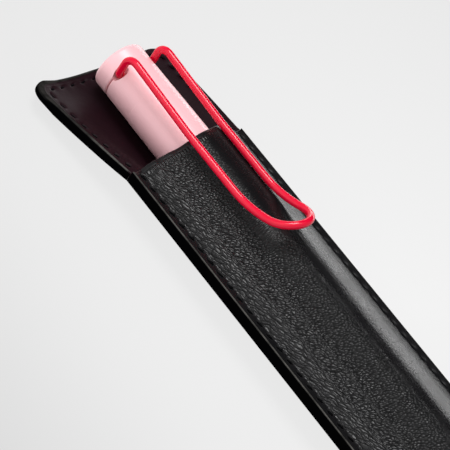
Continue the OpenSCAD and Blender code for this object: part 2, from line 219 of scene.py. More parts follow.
def off(surface, x, y, d):
    """Points at a distance d square to a section, with the section's normal."""
    tilt = (surface(x - PROBE, y) - surface(x + PROBE, y)) / (2 * PROBE)
    length = np.sqrt(1 + tilt * tilt)
    points = np.stack([x + d * tilt / length, y + 0 * x, surface(x, y) + d / length], axis=-1)
    normals = np.stack([tilt / length, 0 * x, 1 / length], axis=-1)
    return points, normals


print(f"the panel leaves the crown at {touch_x:.2f} mm from the middle")

# %% [markdown]
# ## Camera
# The picture was taken with a long lens from the left of the sleeve's foot, rolled so that the
# sleeve runs down to the right. The camera is set by its compass angle, height and roll around the
# point that it looks at, which is easier to read than a matrix.

# %% Camera
camera_aim = Vector((0.00050, 0.03529, 0.00336))
camera_distance = 0.4231
camera_elevation = math.radians(42.876)
camera_azimuth = math.radians(200.388)
camera_roll = math.radians(37.13)
sensor_w = 36.0
focal_length = 154.46

toward_camera = Vector((
    math.cos(camera_elevation) * math.cos(camera_azimuth),
    math.cos(camera_elevation) * math.sin(camera_azimuth),
    math.sin(camera_elevation),
))
camera_data = bpy.data.cameras.new("camera")
camera = bpy.data.objects.new("camera", camera_data)
bpy.context.scene.collection.objects.link(camera)
camera.location = camera_aim + camera_distance * toward_camera
level = (-toward_camera).to_track_quat("-Z", "Y").to_matrix()
camera.rotation_euler = (level @ Matrix.Rotation(camera_roll, 3, "Z")).to_euler()
camera_data.lens = focal_length
camera_data.sensor_width = sensor_w
camera_data.clip_start = 0.01
camera_data.clip_end = 20.0
bpy.context.scene.camera = camera
print("camera at", [round(v, 4) for v in camera.location])

# %% [markdown]
# ## Making meshes
# Leather pieces are sheets, so one helper makes a closed shell from two grids of points. The face
# that shows has a fine grid, and the hidden face only every third line of it, which saves faces.
# Each sheet gets two UV maps in units of 100 mm: one laid flat over the whole sheet, and one that
# is mirrored about the middle, because leather creases run alike on both flanks.

# %% Helpers for objects
def link(name, mesh, material):
    mesh.materials.clear()
    mesh.materials.append(material)
    piece = bpy.data.objects.new(name, mesh)
    bpy.context.scene.collection.objects.link(piece)
    return piece


def unit(vectors):
    return vectors / np.linalg.norm(vectors, axis=1)[:, None]


def mesh_from(name, points_mm, faces):
    mesh = bpy.data.meshes.new(name)
    mesh.from_pydata((np.asarray(points_mm) * MM).tolist(), [], faces)
    mesh.update()
    return mesh


def shade(mesh, sharp_angle=35.0):
    """Smooth faces, with edges kept sharp where the surface turns by more than the angle."""
    work = bmesh.new()
    work.from_mesh(mesh)
    limit = math.radians(sharp_angle)
    for face in work.faces:
        face.smooth = True
    for edge in work.edges:
        edge.smooth = len(edge.link_faces) != 2 or edge.calc_face_angle(0.0) < limit
    work.to_mesh(mesh)
    work.free()
    mesh.update()


def face_outward(mesh):
    work = bmesh.new()
    work.from_mesh(mesh)
    bmesh.ops.recalc_face_normals(work, faces=work.faces)
    work.to_mesh(mesh)
    work.free()


print("object helpers ready")

# %% Helpers for grids in plan
COARSE = 3


def graded(stops, spacings):
    """Places from stop to stop with the given spacings, in a number of steps that COARSE divides."""
    places = [stops[0]]
    for low, high, gap in zip(stops[:-1], stops[1:], spacings):
        count = max(1, round(abs(high - low) / gap))
        places += [low + (high - low) * (i + 1) / count for i in range(count)]
    while (len(places) - 1) % COARSE:
        gaps = [abs(b - a) for a, b in zip(places[:-1], places[1:])]
        widest = gaps.index(max(gaps))
        places.insert(widest + 1, (places[widest] + places[widest + 1]) / 2)
    return np.array(places)


def plan_grid(half_stops, half_spacings, top_y, row_stops, row_spacings):
    """A grid over a sheet in plan: the first stops run inwards from its sides, the others from its top."""
    half_places = graded(half_stops, half_spacings)
    shares = 1 - half_places[::-1] / half_w
    columns = np.concatenate([-shares[:0:-1], shares])
    row_ys = top_y - graded(row_stops, row_spacings)[::-1]
    y = np.repeat(row_ys[:, None], len(columns), axis=1)
    return columns[None, :] * cut_x(row_ys)[:, None], y


def edge_distance(x, y, top_y):
    """Distance to the nearest cut edge of a sheet that ends at the given top."""
    return np.minimum(cut_x(y) - np.abs(x), np.minimum(top_y - y, y - bottom_y))


print("grid helpers ready, every", COARSE, "lines one on the hidden side")

# %% Helpers for closed sheets
UV_UNIT = 100.0
FLANK_SHIFT = 0.37


def shell_faces(rows, columns, flip):
    """Faces of a closed shell: a fine grid, a coarse grid under it, and the walls between them."""
    grid = np.arange(rows * columns).reshape(rows, columns)
    low_rows, low_columns = (rows - 1) // COARSE + 1, (columns - 1) // COARSE + 1
    low = rows * columns + np.arange(low_rows * low_columns).reshape(low_rows, low_columns)
    fine = np.stack([grid[:-1, :-1], grid[:-1, 1:], grid[1:, 1:], grid[1:, :-1]], axis=-1)
    under = np.stack([low[:-1, :-1], low[1:, :-1], low[1:, 1:], low[:-1, 1:]], axis=-1)
    faces = fine.reshape(-1, 4).tolist() + under.reshape(-1, 4).tolist()
    for i in range(low_rows - 1):
        run = list(range(COARSE * i, COARSE * (i + 1) + 1))
        faces.append([int(grid[k, 0]) for k in run] + [int(low[i + 1, 0]), int(low[i, 0])])
        faces.append([int(low[i, -1]), int(low[i + 1, -1])] + [int(grid[k, -1]) for k in reversed(run)])
    for j in range(low_columns - 1):
        run = list(range(COARSE * j, COARSE * (j + 1) + 1))
        faces.append([int(low[0, j]), int(low[0, j + 1])] + [int(grid[0, k]) for k in reversed(run)])
        faces.append([int(grid[-1, k]) for k in run] + [int(low[-1, j + 1]), int(low[-1, j])])
    if flip:
        faces = [face[::-1] for face in faces]
    return faces


def sheet_mesh(name, face_points, under_points, masks, flip=False):
    """A leather sheet from its visible grid and its hidden, coarser one, with UV maps and masks."""
    rows, columns = face_points.shape[:2]
    coarse = under_points[::COARSE, ::COARSE]
    points = np.concatenate([face_points.reshape(-1, 3), coarse.reshape(-1, 3)])
    mesh = mesh_from(name, points, shell_faces(rows, columns, flip))

    steps = np.linalg.norm(np.diff(face_points[:, :, [0, 2]], axis=1), axis=-1)
    arc = np.concatenate([np.zeros((rows, 1)), np.cumsum(steps, axis=1)], axis=1)
    arc -= arc[:, [columns // 2]]
    flat = np.stack([arc, face_points[:, :, 1]], axis=-1)
    flat = np.concatenate([flat.reshape(-1, 2), flat[::COARSE, ::COARSE].reshape(-1, 2)])
    corners = np.empty(len(mesh.loops), dtype=np.int64)
    mesh.loops.foreach_get("vertex_index", corners)
    starts = np.empty(len(mesh.polygons), dtype=np.int64)
    totals = np.empty(len(mesh.polygons), dtype=np.int64)
    mesh.polygons.foreach_get("loop_start", starts)
    mesh.polygons.foreach_get("loop_total", totals)
    middles = np.add.reduceat(points[corners, 0], starts) / totals
    right = np.repeat(middles, totals) > 0
    laid = flat[corners] / UV_UNIT
    mirrored = np.stack([np.abs(laid[:, 0]), laid[:, 1] + np.where(right, FLANK_SHIFT, 0.0)], axis=-1)
    mesh.uv_layers.new(name="laid").data.foreach_set("uv", laid.ravel())
    mesh.uv_layers.new(name="flank").data.foreach_set("uv", mirrored.ravel())

    for key, values in masks.items():
        both = np.concatenate([values.ravel(), values[::COARSE, ::COARSE].ravel()])
        mesh.attributes.new(key, "FLOAT", "POINT").data.foreach_set("value", both.astype(np.float32))
    shade(mesh)
    return mesh


print("sheet helpers ready, UV maps in units of", UV_UNIT, "mm")

# %% [markdown]
# ## Stitch rows
# The rows run 1.8 mm inside the edge, down both sides of the pocket and across its bottom, and up
# round the tongue. Each stitch lies sunk in a slot that the taut thread has pressed into the
# leather, at a slight slant. The places are found once, and serve both the slots in the leather and
# the stitches that are set into them later.

# %% Places of the stitches
stitch_inset = 1.8
stitch_pitch = 3.36
stitch_slant = math.radians(14)


def row_in_plan(from_y, turn_y, end_y, r):
    """A row in plan, from the mouth along one side, across the end and back along the other side."""
    side = [(float(edge_x(y)) - stitch_inset, y) for y in np.linspace(from_y, turn_y, 160)]
    corner_x = side[-1][0] - r
    turn = 1 if end_y > turn_y else -1
    angles = np.linspace(0, math.pi / 2, 16)
    arc = [(corner_x + r * math.cos(a), turn_y + turn * r * math.sin(a)) for a in angles]
    half = side + arc[1:] + [(x, end_y) for x in np.linspace(corner_x, 0, 60)[1:]]
    return np.array([(-x, y) for x, y in half] + [(x, y) for x, y in reversed(half[:-1])])


def along_line(at, lengths, values):
    """The values of a line's points, read off at the given lengths along it."""
    return np.stack([np.interp(at, lengths, values[:, k]) for k in range(3)], axis=-1)


def stitches_on(row, surface):
    """Middle, direction and normal of each stitch along a row, spaced evenly on the surface."""
    points, normals = off(surface, row[:, 0], row[:, 1], 0.0)
    lengths = np.concatenate([[0], np.cumsum(np.linalg.norm(np.diff(points, axis=0), axis=1))])
    count = int(lengths[-1] // stitch_pitch)
    at = (np.arange(count) + 0.5) * lengths[-1] / count
    middle = along_line(at, lengths, points)
    along = unit(along_line(at + 0.2, lengths, points) - middle)
    normal = unit(along_line(at, lengths, normals))
    across = np.cross(normal, along)
    slanted = math.cos(stitch_slant) * along + math.sin(stitch_slant) * across
    return {"middle": middle, "along": slanted, "normal": normal}


bottom_row_y = bottom_y + stitch_inset
pocket_turn_r = bottom_corner_r - stitch_inset
pocket_row = row_in_plan(mouth_y - 0.4, bottom_row_y + pocket_turn_r, bottom_row_y, pocket_turn_r)
tip_row_y = tip_y - stitch_inset
tongue_turn_r = tip_corner_r - stitch_inset
tongue_row = row_in_plan(mouth_y + 0.8, tip_row_y - tongue_turn_r, tip_row_y, tongue_turn_r)

pocket_stitches = stitches_on(pocket_row, front_z)
tongue_stitches = stitches_on(tongue_row, back_z)
print(len(pocket_stitches["middle"]), "stitches round the pocket")
print(len(tongue_stitches["middle"]), "stitches round the tongue")

# %% Slots pressed into the leather by the stitches
slot_half_l = 0.85
slot_half_w = 0.36
slot_reach = 2.2
pull_share_along = 0.55


def slots(x, y, stitches):
    """Depth of the slots at a place, from 0 to 1."""
    depth = np.zeros_like(x)
    for middle, along in zip(stitches["middle"], stitches["along"]):
        dx, dy = x - middle[0], y - middle[1]
        near = (np.abs(dx) < slot_reach) & (np.abs(dy) < slot_reach)
        a = (dx[near] * along[0] + dy[near] * along[1]) / slot_half_l
        b = (dy[near] * along[0] - dx[near] * along[1]) / slot_half_w
        depth[near] = np.maximum(depth[near], np.exp(-(a**4) - b * b))
    return depth


def pull(x, y, stitches, reach=1.3):
    """How much the leather is drawn down round the row of stitches, from 0 to 1."""
    near_row = np.full(x.shape, 1e9)
    for middle in stitches["middle"]:
        near_row = np.minimum(near_row, (x - middle[0]) ** 2 + ((y - middle[1]) * pull_share_along) ** 2)
    return np.exp(-near_row / reach**2)


print("slots ready")

# %% [markdown]
# ## Node helpers
# A material or a Geometry Nodes tree is a list of nodes and links. One small helper adds a node,
# sets its properties, and fills its inputs either with a value or with a link from another socket.
# The others stand for what comes back in every finish: a noise, a range, a blend and a bump.

# %% Node helpers
def add(tree, kind, inputs=None, **properties):
    node = tree.nodes.new(kind)
    for key, value in properties.items():
        setattr(node, key, value)
    for key, value in (inputs or {}).items():
        if isinstance(value, bpy.types.NodeSocket):
            tree.links.new(value, node.inputs[key])
        else:
            node.inputs[key].default_value = value
    return node


def math_node(tree, operation, *values):
    return add(tree, "ShaderNodeMath", dict(enumerate(values)), operation=operation).outputs[0]


def mix(tree, share, a, b):
    return add(tree, "ShaderNodeMix", {0: share, 2: a, 3: b}, data_type="FLOAT").outputs[0]


def blend(tree, share, first, second):
    """Goes from the first colour to the second as the share goes from 0 to 1."""
    return add(tree, "ShaderNodeMix", {0: share, 6: first, 7: second}, data_type="RGBA").outputs[2]


def map_range(tree, value, from_low, from_high, to_low, to_high):
    inputs = {0: value, 1: from_low, 2: from_high, 3: to_low, 4: to_high}
    return add(tree, "ShaderNodeMapRange", inputs).outputs[0]


def smooth_range(tree, value, nought_at, full_at, full=1.0):
    """Rises softly from 0, where the value is at the first number, to full, at the second."""
    return add(tree, "ShaderNodeMapRange", {0: value, 1: nought_at, 2: full_at, 4: full},
               interpolation_type="SMOOTHSTEP").outputs[0]


def mesh_mask(tree, name):
    return add(tree, "ShaderNodeAttribute", attribute_name=name).outputs["Fac"]


def sheet_noise(tree, uv, size, detail=2.0):
    """Noise laid on a sheet, with patches of about that size in millimetres."""
    return add(tree, "ShaderNodeTexNoise", {"Vector": uv, "Scale": UV_UNIT / size, "Detail": detail},
               noise_dimensions="2D").outputs


def solid_noise(tree, per_metre, detail):
    """Noise all through a piece, for pieces that have no flat pattern."""
    at = add(tree, "ShaderNodeTexCoord").outputs["Object"]
    return add(tree, "ShaderNodeTexNoise",
               {"Vector": at, "Scale": per_metre, "Detail": detail}).outputs["Fac"]


def drive(shader, setting, socket):
    shader.id_data.links.new(socket, shader.inputs[setting])


def set_bump(tree, shader, height, depth):
    """Lets a height of 0 to 1 stand for a depth in millimetres."""
    bump = add(tree, "ShaderNodeBump", {"Strength": 1.0, "Distance": depth * MM, "Height": height})
    drive(shader, "Normal", bump.outputs[0])


def material(name, settings):
    made = bpy.data.materials.new(name)
    made.use_nodes = True
    shader = made.node_tree.nodes["Principled BSDF"]
    for key, value in settings.items():
        shader.inputs[key].default_value = value
    return made, made.node_tree, shader


print("node helpers ready")

# %% [markdown]
# ## Pebbled leather
# The grain of this leather is a field of small domes with creases between them. Beside the seams
# the pull of the stitches draws the domes out along the sleeve, and higher up the flank they turn
# across it. On the crown near the mouth, where the leather is stretched, they become fine strokes.
# Four crease layers do that, each turned and stretched its own way, and masks on the mesh blend
# from one to the next. In a layer, one Voronoi pattern makes the domes and another the lines
# between them. The height goes into a Bump node with a real depth in metres.

# %% Crease layer
WAVE_PERIOD = 2 * math.pi / 20
CREASE_SLOPE = 5.0
CREASE_DEPTH = 0.45
DOME_FALL = 1.6


def crease_layer(tree, uv, cell_w, cell_l, turn_deg, warp_size, warp_amount):
    """Domes between creases, in cells of that width and length in millimetres, turned by an angle."""
    warp = sheet_noise(tree, uv, warp_size)["Color"]
    centred = add(tree, "ShaderNodeVectorMath", {0: warp, 1: (0.5, 0.5, 0.5)}, operation="SUBTRACT")
    moved = add(tree, "ShaderNodeVectorMath",
                {0: centred.outputs[0], 1: (warp_amount / UV_UNIT,) * 3, 2: uv},
                operation="MULTIPLY_ADD")
    placed = add(tree, "ShaderNodeMapping",
                 {"Vector": moved.outputs[0], "Rotation": (0, 0, math.radians(turn_deg)),
                  "Scale": (cell_w / UV_UNIT, cell_l / UV_UNIT, 1)}, vector_type="TEXTURE").outputs[0]
    domes = add(tree, "ShaderNodeTexVoronoi", {"Vector": placed, "Scale": 1.0, "Smoothness": 0.35},
                voronoi_dimensions="2D", feature="SMOOTH_F1").outputs["Distance"]
    lines = add(tree, "ShaderNodeTexVoronoi", {"Vector": placed, "Scale": 1.0},
                voronoi_dimensions="2D", feature="DISTANCE_TO_EDGE").outputs["Distance"]
    crease = math_node(tree, "SMOOTH_MIN", math_node(tree, "MULTIPLY", lines, CREASE_SLOPE), 1.0)
    fall = math_node(tree, "MULTIPLY", math_node(tree, "POWER", domes, 2.0), DOME_FALL)
    dome = math_node(tree, "SUBTRACT", 1.0, fall)
    return math_node(tree, "ADD", math_node(tree, "MULTIPLY", crease, CREASE_DEPTH), dome)


print("crease layer ready")

# %% Material: pebbled leather
fine_size = 0.25
fine_height = 0.18
rib_pitch = 0.72
rib_height = 2.0
gap_roughness = 0.2


def pebbled_leather(name, grain_depth):
    made, tree, shader = material(name, {"IOR": 1.5, "Specular IOR Level": 0.33})
    flank = add(tree, "ShaderNodeUVMap", uv_map="flank").outputs[0]
    laid = add(tree, "ShaderNodeUVMap", uv_map="laid").outputs[0]
    zone, grain, stroked, ribs = [mesh_mask(tree, key) for key in ("zone", "grain", "strokes", "ribs")]

    seam = crease_layer(tree, flank, 0.54, 1.8, -17, 2.6, 1.1)
    middle = crease_layer(tree, flank, 0.50, 1.1, -40, 2.0, 0.9)
    high = crease_layer(tree, flank, 0.46, 0.75, -58, 1.7, 0.7)
    strokes = crease_layer(tree, laid, 1.9, 0.46, 4, 1.6, 0.35)
    height = mix(tree, smooth_range(tree, zone, 0.1, 0.4), seam, middle)
    height = mix(tree, smooth_range(tree, zone, 0.5, 0.8), height, high)
    height = mix(tree, stroked, height, strokes)
    fine = math_node(tree, "MULTIPLY", sheet_noise(tree, laid, fine_size)["Fac"], fine_height)
    height = math_node(tree, "ADD", height, fine)
    # The creases between the domes get rougher, and their colour is painted darker as painted shade.
    gap = math_node(tree, "MULTIPLY", smooth_range(tree, height, 1.25, 0.8), grain)
    height = math_node(tree, "MULTIPLY", height, grain)

    wander = sheet_noise(tree, laid, 1.5)["Color"]
    moved = add(tree, "ShaderNodeVectorMath", {0: wander, 1: (0.004,) * 3, 2: laid},
                operation="MULTIPLY_ADD")
    stripes = add(tree, "ShaderNodeTexWave",
                  {"Vector": moved.outputs[0], "Scale": WAVE_PERIOD * UV_UNIT / rib_pitch, "Distortion": 0.0},
                  bands_direction="X").outputs["Fac"]
    stripes = math_node(tree, "MULTIPLY", stripes, math_node(tree, "MULTIPLY", ribs, rib_height))
    set_bump(tree, shader, math_node(tree, "ADD", height, stripes), grain_depth)

    cloudy = sheet_noise(tree, laid, 9.0, 3.0)["Fac"]
    polish = map_range(tree, grain, 0.05, 0.5, 0.9, 1.0)
    rough = math_node(tree, "MULTIPLY", map_range(tree, cloudy, 0.3, 0.7, 0.25, 0.33), polish)
    rough = math_node(tree, "ADD", rough, math_node(tree, "MULTIPLY", gap, gap_roughness))
    drive(shader, "Roughness", rough)
    tint = blend(tree, cloudy, (0.0040, 0.0038, 0.0047, 1), (0.0064, 0.0060, 0.0066, 1))
    # In the creases the base colour is painted near-black, as painted shade.
    drive(shader, "Base Color", blend(tree, gap, tint, (0.001, 0.001, 0.0013, 1)))
    return made


front_finish = pebbled_leather("pebbled_leather", 0.135)
print("material", front_finish.name)

# %% [markdown]
# ## Front panel
# The panel is a 0.75 mm skin. Its grid is fine beside the seams, where the stitches press slots and
# puckers into it, and along the mouth, where a heated tool has pressed a sloping strip into the
# edge. Those are real dents in the mesh. The grain and the short ribs under the strip are left to
# the material, and masks tell it where each belongs. The crown's middle and right side are rubbed
# almost smooth, which fades out towards the bottom end.

# %% Front panel: grid and noise
def mouth_shift(x, y):
    """The cut edge of the mouth isn't quite straight: it dips beside the crown."""
    near_mouth = smooth_step(1 - (mouth_y - y) / 9.0)
    return near_mouth * (0.1 * hump(x, 12.0, 7.0) - 0.32 * hump(x, -3.6, 4.2))


def rounding(e, r):
    inside = np.clip(r - e, 0.0, r)
    return r - np.sqrt(r * r - inside * inside)


def turned_noise(x, y, turn_deg, size_across, size_along, seed):
    """Noise drawn out along a direction, mirrored on the two flanks."""
    angle = math.radians(turn_deg)
    c, s = math.cos(angle), math.sin(angle)
    u = (np.abs(x) * c + y * s) / size_across
    v = (y * c - np.abs(x) * s) / size_along
    side = np.where(x > 0, 31.7, 0.0)
    places = zip(u.ravel(), v.ravel(), side.ravel())
    flat = [noise.noise(Vector((a, b + shift, seed))) for a, b, shift in places]
    return np.array(flat).reshape(x.shape)


front_l = mouth_y - bottom_y
grid_x, grid_y = plan_grid([0, 0.3, 5.6, 9.0, half_w], [0.1, 0.21, 0.34, 0.42], mouth_y,
                           [0, 0.3, 4.0, 6.0, front_l - 0.3, front_l], [0.1, 0.16, 0.22, 0.29, 0.1])
from_side = cut_x(grid_y) - np.abs(grid_x)
from_mouth = mouth_y - grid_y
from_row = from_side - stitch_inset
print("grid of the front panel:", grid_x.shape[0], "by", grid_x.shape[1], "points")

# %% Front panel: relief
lip_r = 0.32
slot_depth = 0.62
right_slot_share = 0.2
row_depth = 0.12
rim_in = 0.8
rim_depth = 0.13
pucker_depth = 0.07
ruffle_depth = 0.02
strip_w = 1.15
strip_fall = 0.34
crease_depth = 0.05

on_left = grid_x < 0
shown = np.where(on_left, 1.0, right_slot_share)
rim_places = dict(pocket_stitches, middle=pocket_stitches["middle"].copy())
rim_places["middle"][:, 0] -= rim_in * np.sign(rim_places["middle"][:, 0])
sunk = slot_depth * shown * slots(grid_x, grid_y, pocket_stitches)
sunk = sunk + row_depth * pull(grid_x, grid_y, pocket_stitches)
sunk = sunk - rim_depth * on_left * slots(grid_x, grid_y, rim_places)
flank_mask = smooth_step(from_row / 0.8) * smooth_step(1 - (from_row - 3.0) / 5.5)
puckers = pucker_depth * flank_mask * turned_noise(grid_x, grid_y, -15, 0.95, 3.6, 3.0)
ruffle = ruffle_depth * smooth_step(from_row / 1.5) * turned_noise(grid_x, grid_y, -30, 2.6, 5.0, 9.0)
strip = strip_fall * np.clip(1 - from_mouth / strip_w, 0, 1)
crease = crease_depth * hump(from_mouth, strip_w, 0.14) - crease_depth * hump(from_mouth, 1.75, 0.4)
crease = strip + crease * smooth_step((from_side - 1.0) / 1.2)
rounded_edge = rounding(edge_distance(grid_x, grid_y, mouth_y), lip_r)
outer_offset = front_t - sunk + puckers + ruffle - crease - rounded_edge

front_face = off(front_z, grid_x, grid_y, outer_offset)[0]
front_under = off(front_z, grid_x, grid_y, 0.0)[0]
front_face[:, :, 1] = front_under[:, :, 1] = grid_y + mouth_shift(grid_x, grid_y)
print(f"slots {slot_depth} mm deep, a pressed strip {strip_w} mm wide")

# %% Front panel: masks and piece
rib_from = 1.1
rib_to = 2.5
stroke_from_x = -4.9
polish_from_x = -2.6
polish_to_x = 8.5
polish_fade_l = 16.0

zone = smooth_step((seat_x + 0.8 - np.abs(grid_x)) / (seat_x - 2.0))
above_loop = smooth_step((grid_y - 20.0) / 7.0)
strokes = above_loop * smooth_step((grid_x - stroke_from_x) / 1.2)
smooth_from = polish_from_x + (1 - above_loop)
polished = smooth_step((grid_x - smooth_from) / 2.6) * (1 - smooth_step((grid_x - polish_to_x) / 3.0))
polished = polished * smooth_step((grid_y - closing_y) / polish_fade_l)
grain = smooth_step((from_row - 0.2) / 0.7) * (1 - 0.93 * polished)
grain = grain * smooth_step((from_mouth - rib_from) / 0.5)
band = smooth_step((from_mouth - rib_from) / 0.2) * smooth_step((rib_to - from_mouth) / 0.5)
ribs = 0.6 * band * smooth_step((from_side - 1.6) / 1.0) * (1 - 0.8 * polished)
grain = 0.05 + 0.95 * grain * (1 - 0.97 * band) * (1 - 0.3 * strokes)
masks = {"zone": zone, "grain": grain, "strokes": strokes, "ribs": ribs}
front_panel = link("front_panel", sheet_mesh("front_panel", front_face, front_under, masks), front_finish)
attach(front_panel, "sleeve")
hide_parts("front_leather")
print("front panel:", len(front_panel.data.polygons), "faces")

# %% [markdown]
# ## Lining and tongue
# The lining is a smooth leather with a satin face, nearly black. Its aubergine tint is partly the
# leather's own and partly a painted reflection of the pink cap. Its grain is so fine that it hardly
# shows. The tongue is a single bowed sheet, with its own row of sunk stitches and a creased line
# just inside the edge.

# %% Material: smooth lining leather
def smooth_leather(name):
    made, tree, shader = material(name, {"IOR": 1.5, "Specular IOR Level": 0.06})
    laid = add(tree, "ShaderNodeUVMap", uv_map="laid").outputs[0]
    pores = add(tree, "ShaderNodeTexVoronoi", {"Vector": laid, "Scale": UV_UNIT / 0.38},
                voronoi_dimensions="2D", feature="SMOOTH_F1").outputs["Distance"]
    soft = sheet_noise(tree, laid, 1.6, 4.0)["Fac"]
    set_bump(tree, shader, math_node(tree, "ADD", math_node(tree, "MULTIPLY", pores, -0.5), soft), 0.035)
    cloudy = sheet_noise(tree, laid, 11.0)["Fac"]
    drive(shader, "Roughness", map_range(tree, cloudy, 0.3, 0.7, 0.42, 0.5))
    # The aubergine base colour is partly the leather's own tint and partly a painted reflection of the pink
    # cap.
    drive(shader, "Base Color", blend(tree, cloudy, (0.0095, 0.0030, 0.0048, 1), (0.0165, 0.0055, 0.0085, 1)))
    return made


lining_finish = smooth_leather("smooth_lining_leather")
print("material", lining_finish.name)

# %% Lining and tongue
tongue_slot_depth = 0.45
tongue_row_depth = 0.07
edge_line_in = 0.75
edge_line_depth = 0.05
arris_r = 0.3

lining_x, lining_y = plan_grid([0, 0.3, 4.0, half_w], [0.1, 0.2, 0.42], tip_y,
                               [0, 0.3, 4.5, tongue_l + 4, tip_y - bottom_y], [0.1, 0.17, 0.27, 1.6])
edge_gap = edge_distance(lining_x, lining_y, tip_y)
press = tongue_slot_depth * slots(lining_x, lining_y, tongue_stitches)
press = press + tongue_row_depth * pull(lining_x, lining_y, tongue_stitches, 1.0)
on_tongue = smooth_step((lining_y - mouth_y) / 2.0)
edge_line = edge_line_depth * hump(edge_gap, edge_line_in, 0.16) * on_tongue
lining_offset = -press - edge_line - rounding(edge_gap, arris_r) * on_tongue
lining_face = off(back_z, lining_x, lining_y, lining_offset)[0]
lining_under = off(back_z, lining_x, lining_y, -lining_t)[0]
lining_mesh = sheet_mesh("tongue_and_lining", lining_face, lining_under, {})
lining = link("tongue_and_lining", lining_mesh, lining_finish)
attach(lining, "sleeve")
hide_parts("back_lining")
print("lining:", lining_face.shape[0], "by", lining_face.shape[1], "points")

# %% [markdown]
# ## Back and core
# The back is the same pebbled leather as the front, grain outwards. Its two ends are pared thin, so
# that the turned seam stays slim. Between the back and the lining lies a thin stiffening sheet,
# which only the painted edge hides: it keeps its construction solid with a fibre finish.

# %% Back: pared ends and places of the thread
def skive(y):
    at_tip = 1 - ease((tip_y - y - pared_flat) / (skive_l - pared_flat))
    at_bottom = 1 - ease((y - bottom_y - pared_flat) / (skive_l - pared_flat))
    return skive_depth * np.maximum(at_tip, at_bottom)


def under_face(y):
    """Distance of the back's grain side from the lining's face."""
    return -(lining_top - skive(y))


back_stitches = stitches_on(pocket_row, back_z)
back_tongue_stitches = stitches_on(tongue_row, back_z)
print(len(back_stitches["middle"]) + len(back_tongue_stitches["middle"]), "stitches on the back")

# %% Back
back_slot_depth = 0.3
back_l = tip_y - bottom_y
back_x, back_y = plan_grid([0, 0.3, 4.2, half_w], [0.1, 0.26, 0.6], tip_y,
                           [0, 0.3, 4.5, back_l - 4.5, back_l - 0.3, back_l], [0.1, 0.25, 0.42, 0.25, 0.1])
back_side = cut_x(back_y) - np.abs(back_x)
back_edge = edge_distance(back_x, back_y, tip_y)
back_press = back_slot_depth * slots(back_x, back_y, back_stitches)
back_press = back_press + back_slot_depth * slots(back_x, back_y, back_tongue_stitches)
back_offset = under_face(back_y) + back_press + rounding(back_edge, arris_r)
back_face = off(back_z, back_x, back_y, back_offset)[0]
back_inside = off(back_z, back_x, back_y, -(lining_t + core_t + 2 * glue_t))[0]
back_zone = smooth_step((half_w - 1.5 - np.abs(back_x)) / 10.0)
back_grain = 0.15 + 0.6 * smooth_step((back_side - stitch_inset) / 1.0)
back_masks = {"zone": 0.2 + 0.4 * back_zone, "grain": back_grain,
              "strokes": 0 * back_zone, "ribs": 0 * back_zone}
back_mesh = sheet_mesh("back_shell", back_face, back_inside, back_masks, flip=True)
back = link("back_shell", back_mesh, front_finish)
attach(back, "sleeve")
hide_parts("back_leather")
print("back:", back_face.shape[0], "by", back_face.shape[1], "points")

# %% Material: fibre sheet for the core
core_finish, core_tree, core_shader = material("stiffening_fibre", {"Roughness": 0.9})
fibre = solid_noise(core_tree, 900.0, 4.0)
drive(core_shader, "Base Color", blend(core_tree, fibre, (0.05, 0.044, 0.04, 1), (0.11, 0.1, 0.09, 1)))
set_bump(core_tree, core_shader, fibre, 0.05)
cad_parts["back_core"].material_slots[0].material = core_finish
print("material", core_finish.name)

# %% [markdown]
# ## Painted edge
# The cut edge shows all layers, so the maker sands it round and paints it with several coats of
# black edge paint. The paint is a smooth, slightly swollen band with almost no shine. Where it
# meets the leather's face, a thin lighter line runs along the arris. It is partly rubbed wear and
# partly a painted highlight where the corner catches the light. Near the tongue's tip, the paint's
# upper rounding is also painted lighter where it faces up, as a painted highlight. It is a ribbon
# swept round the outline, one for the pocket and one for the tongue. At the tongue's left corner,
# seen from the front, the paint has run thicker and swells the edge by about a millimetre.

# %% Material: edge paint
def edge_paint_finish(name):
    made, tree, shader = material(name, {"Specular IOR Level": 0.0})
    uneven = solid_noise(tree, 420.0, 3.0)
    patch = map_range(tree, uneven, 0.3, 0.62, 0.35, 1.0)
    # The mask lightens the black paint to grey. Along the arris this is partly rubbed wear and partly a
    # painted highlight, and on the tip's upward-facing rounding it is a painted highlight. Noise makes it
    # patchy.
    share = math_node(tree, "MULTIPLY", mesh_mask(tree, "wear_and_highlight"), patch)
    drive(shader, "Base Color", blend(tree, share, (0.0010, 0.0010, 0.0012, 1), (0.085, 0.082, 0.076, 1)))
    drive(shader, "Roughness", map_range(tree, uneven, 0.0, 1.0, 0.5, 0.65))
    set_bump(tree, shader, uneven, 0.02)
    return made


paint = edge_paint_finish("edge_paint")
print("material", paint.name)

# %% Ribbon round an edge
paint_in = 0.42
paint_swell = 0.13
RIBBON_PROFILE = [
    (-paint_in, 1.0, -0.10, 0.0), (-0.34, 1.0, 0.0, 0.0), (-0.24, 1.0, 0.01, 1.0),
    (-0.10, 1.0, -0.07, 1.0), (0.02, 1.0, -0.20, 0.0), (0.10, 1.0, -0.45, 0.0),
    (paint_swell, 0.68, 0.0, 0.0), (paint_swell + 0.02, 0.5, 0.0, 0.0), (paint_swell, 0.32, 0.0, 0.0),
    (0.10, 0.0, 0.40, 0.0), (0.02, 0.0, 0.16, 0.0), (-0.12, 0.0, 0.03, 0.0), (-paint_in, 0.0, 0.08, 0.0),
]
swell_at = [1, 3, 7, 14, 24, 30]
swell_by = [1.2, 1.1, 0.5, 0.35, 0.2, 0]


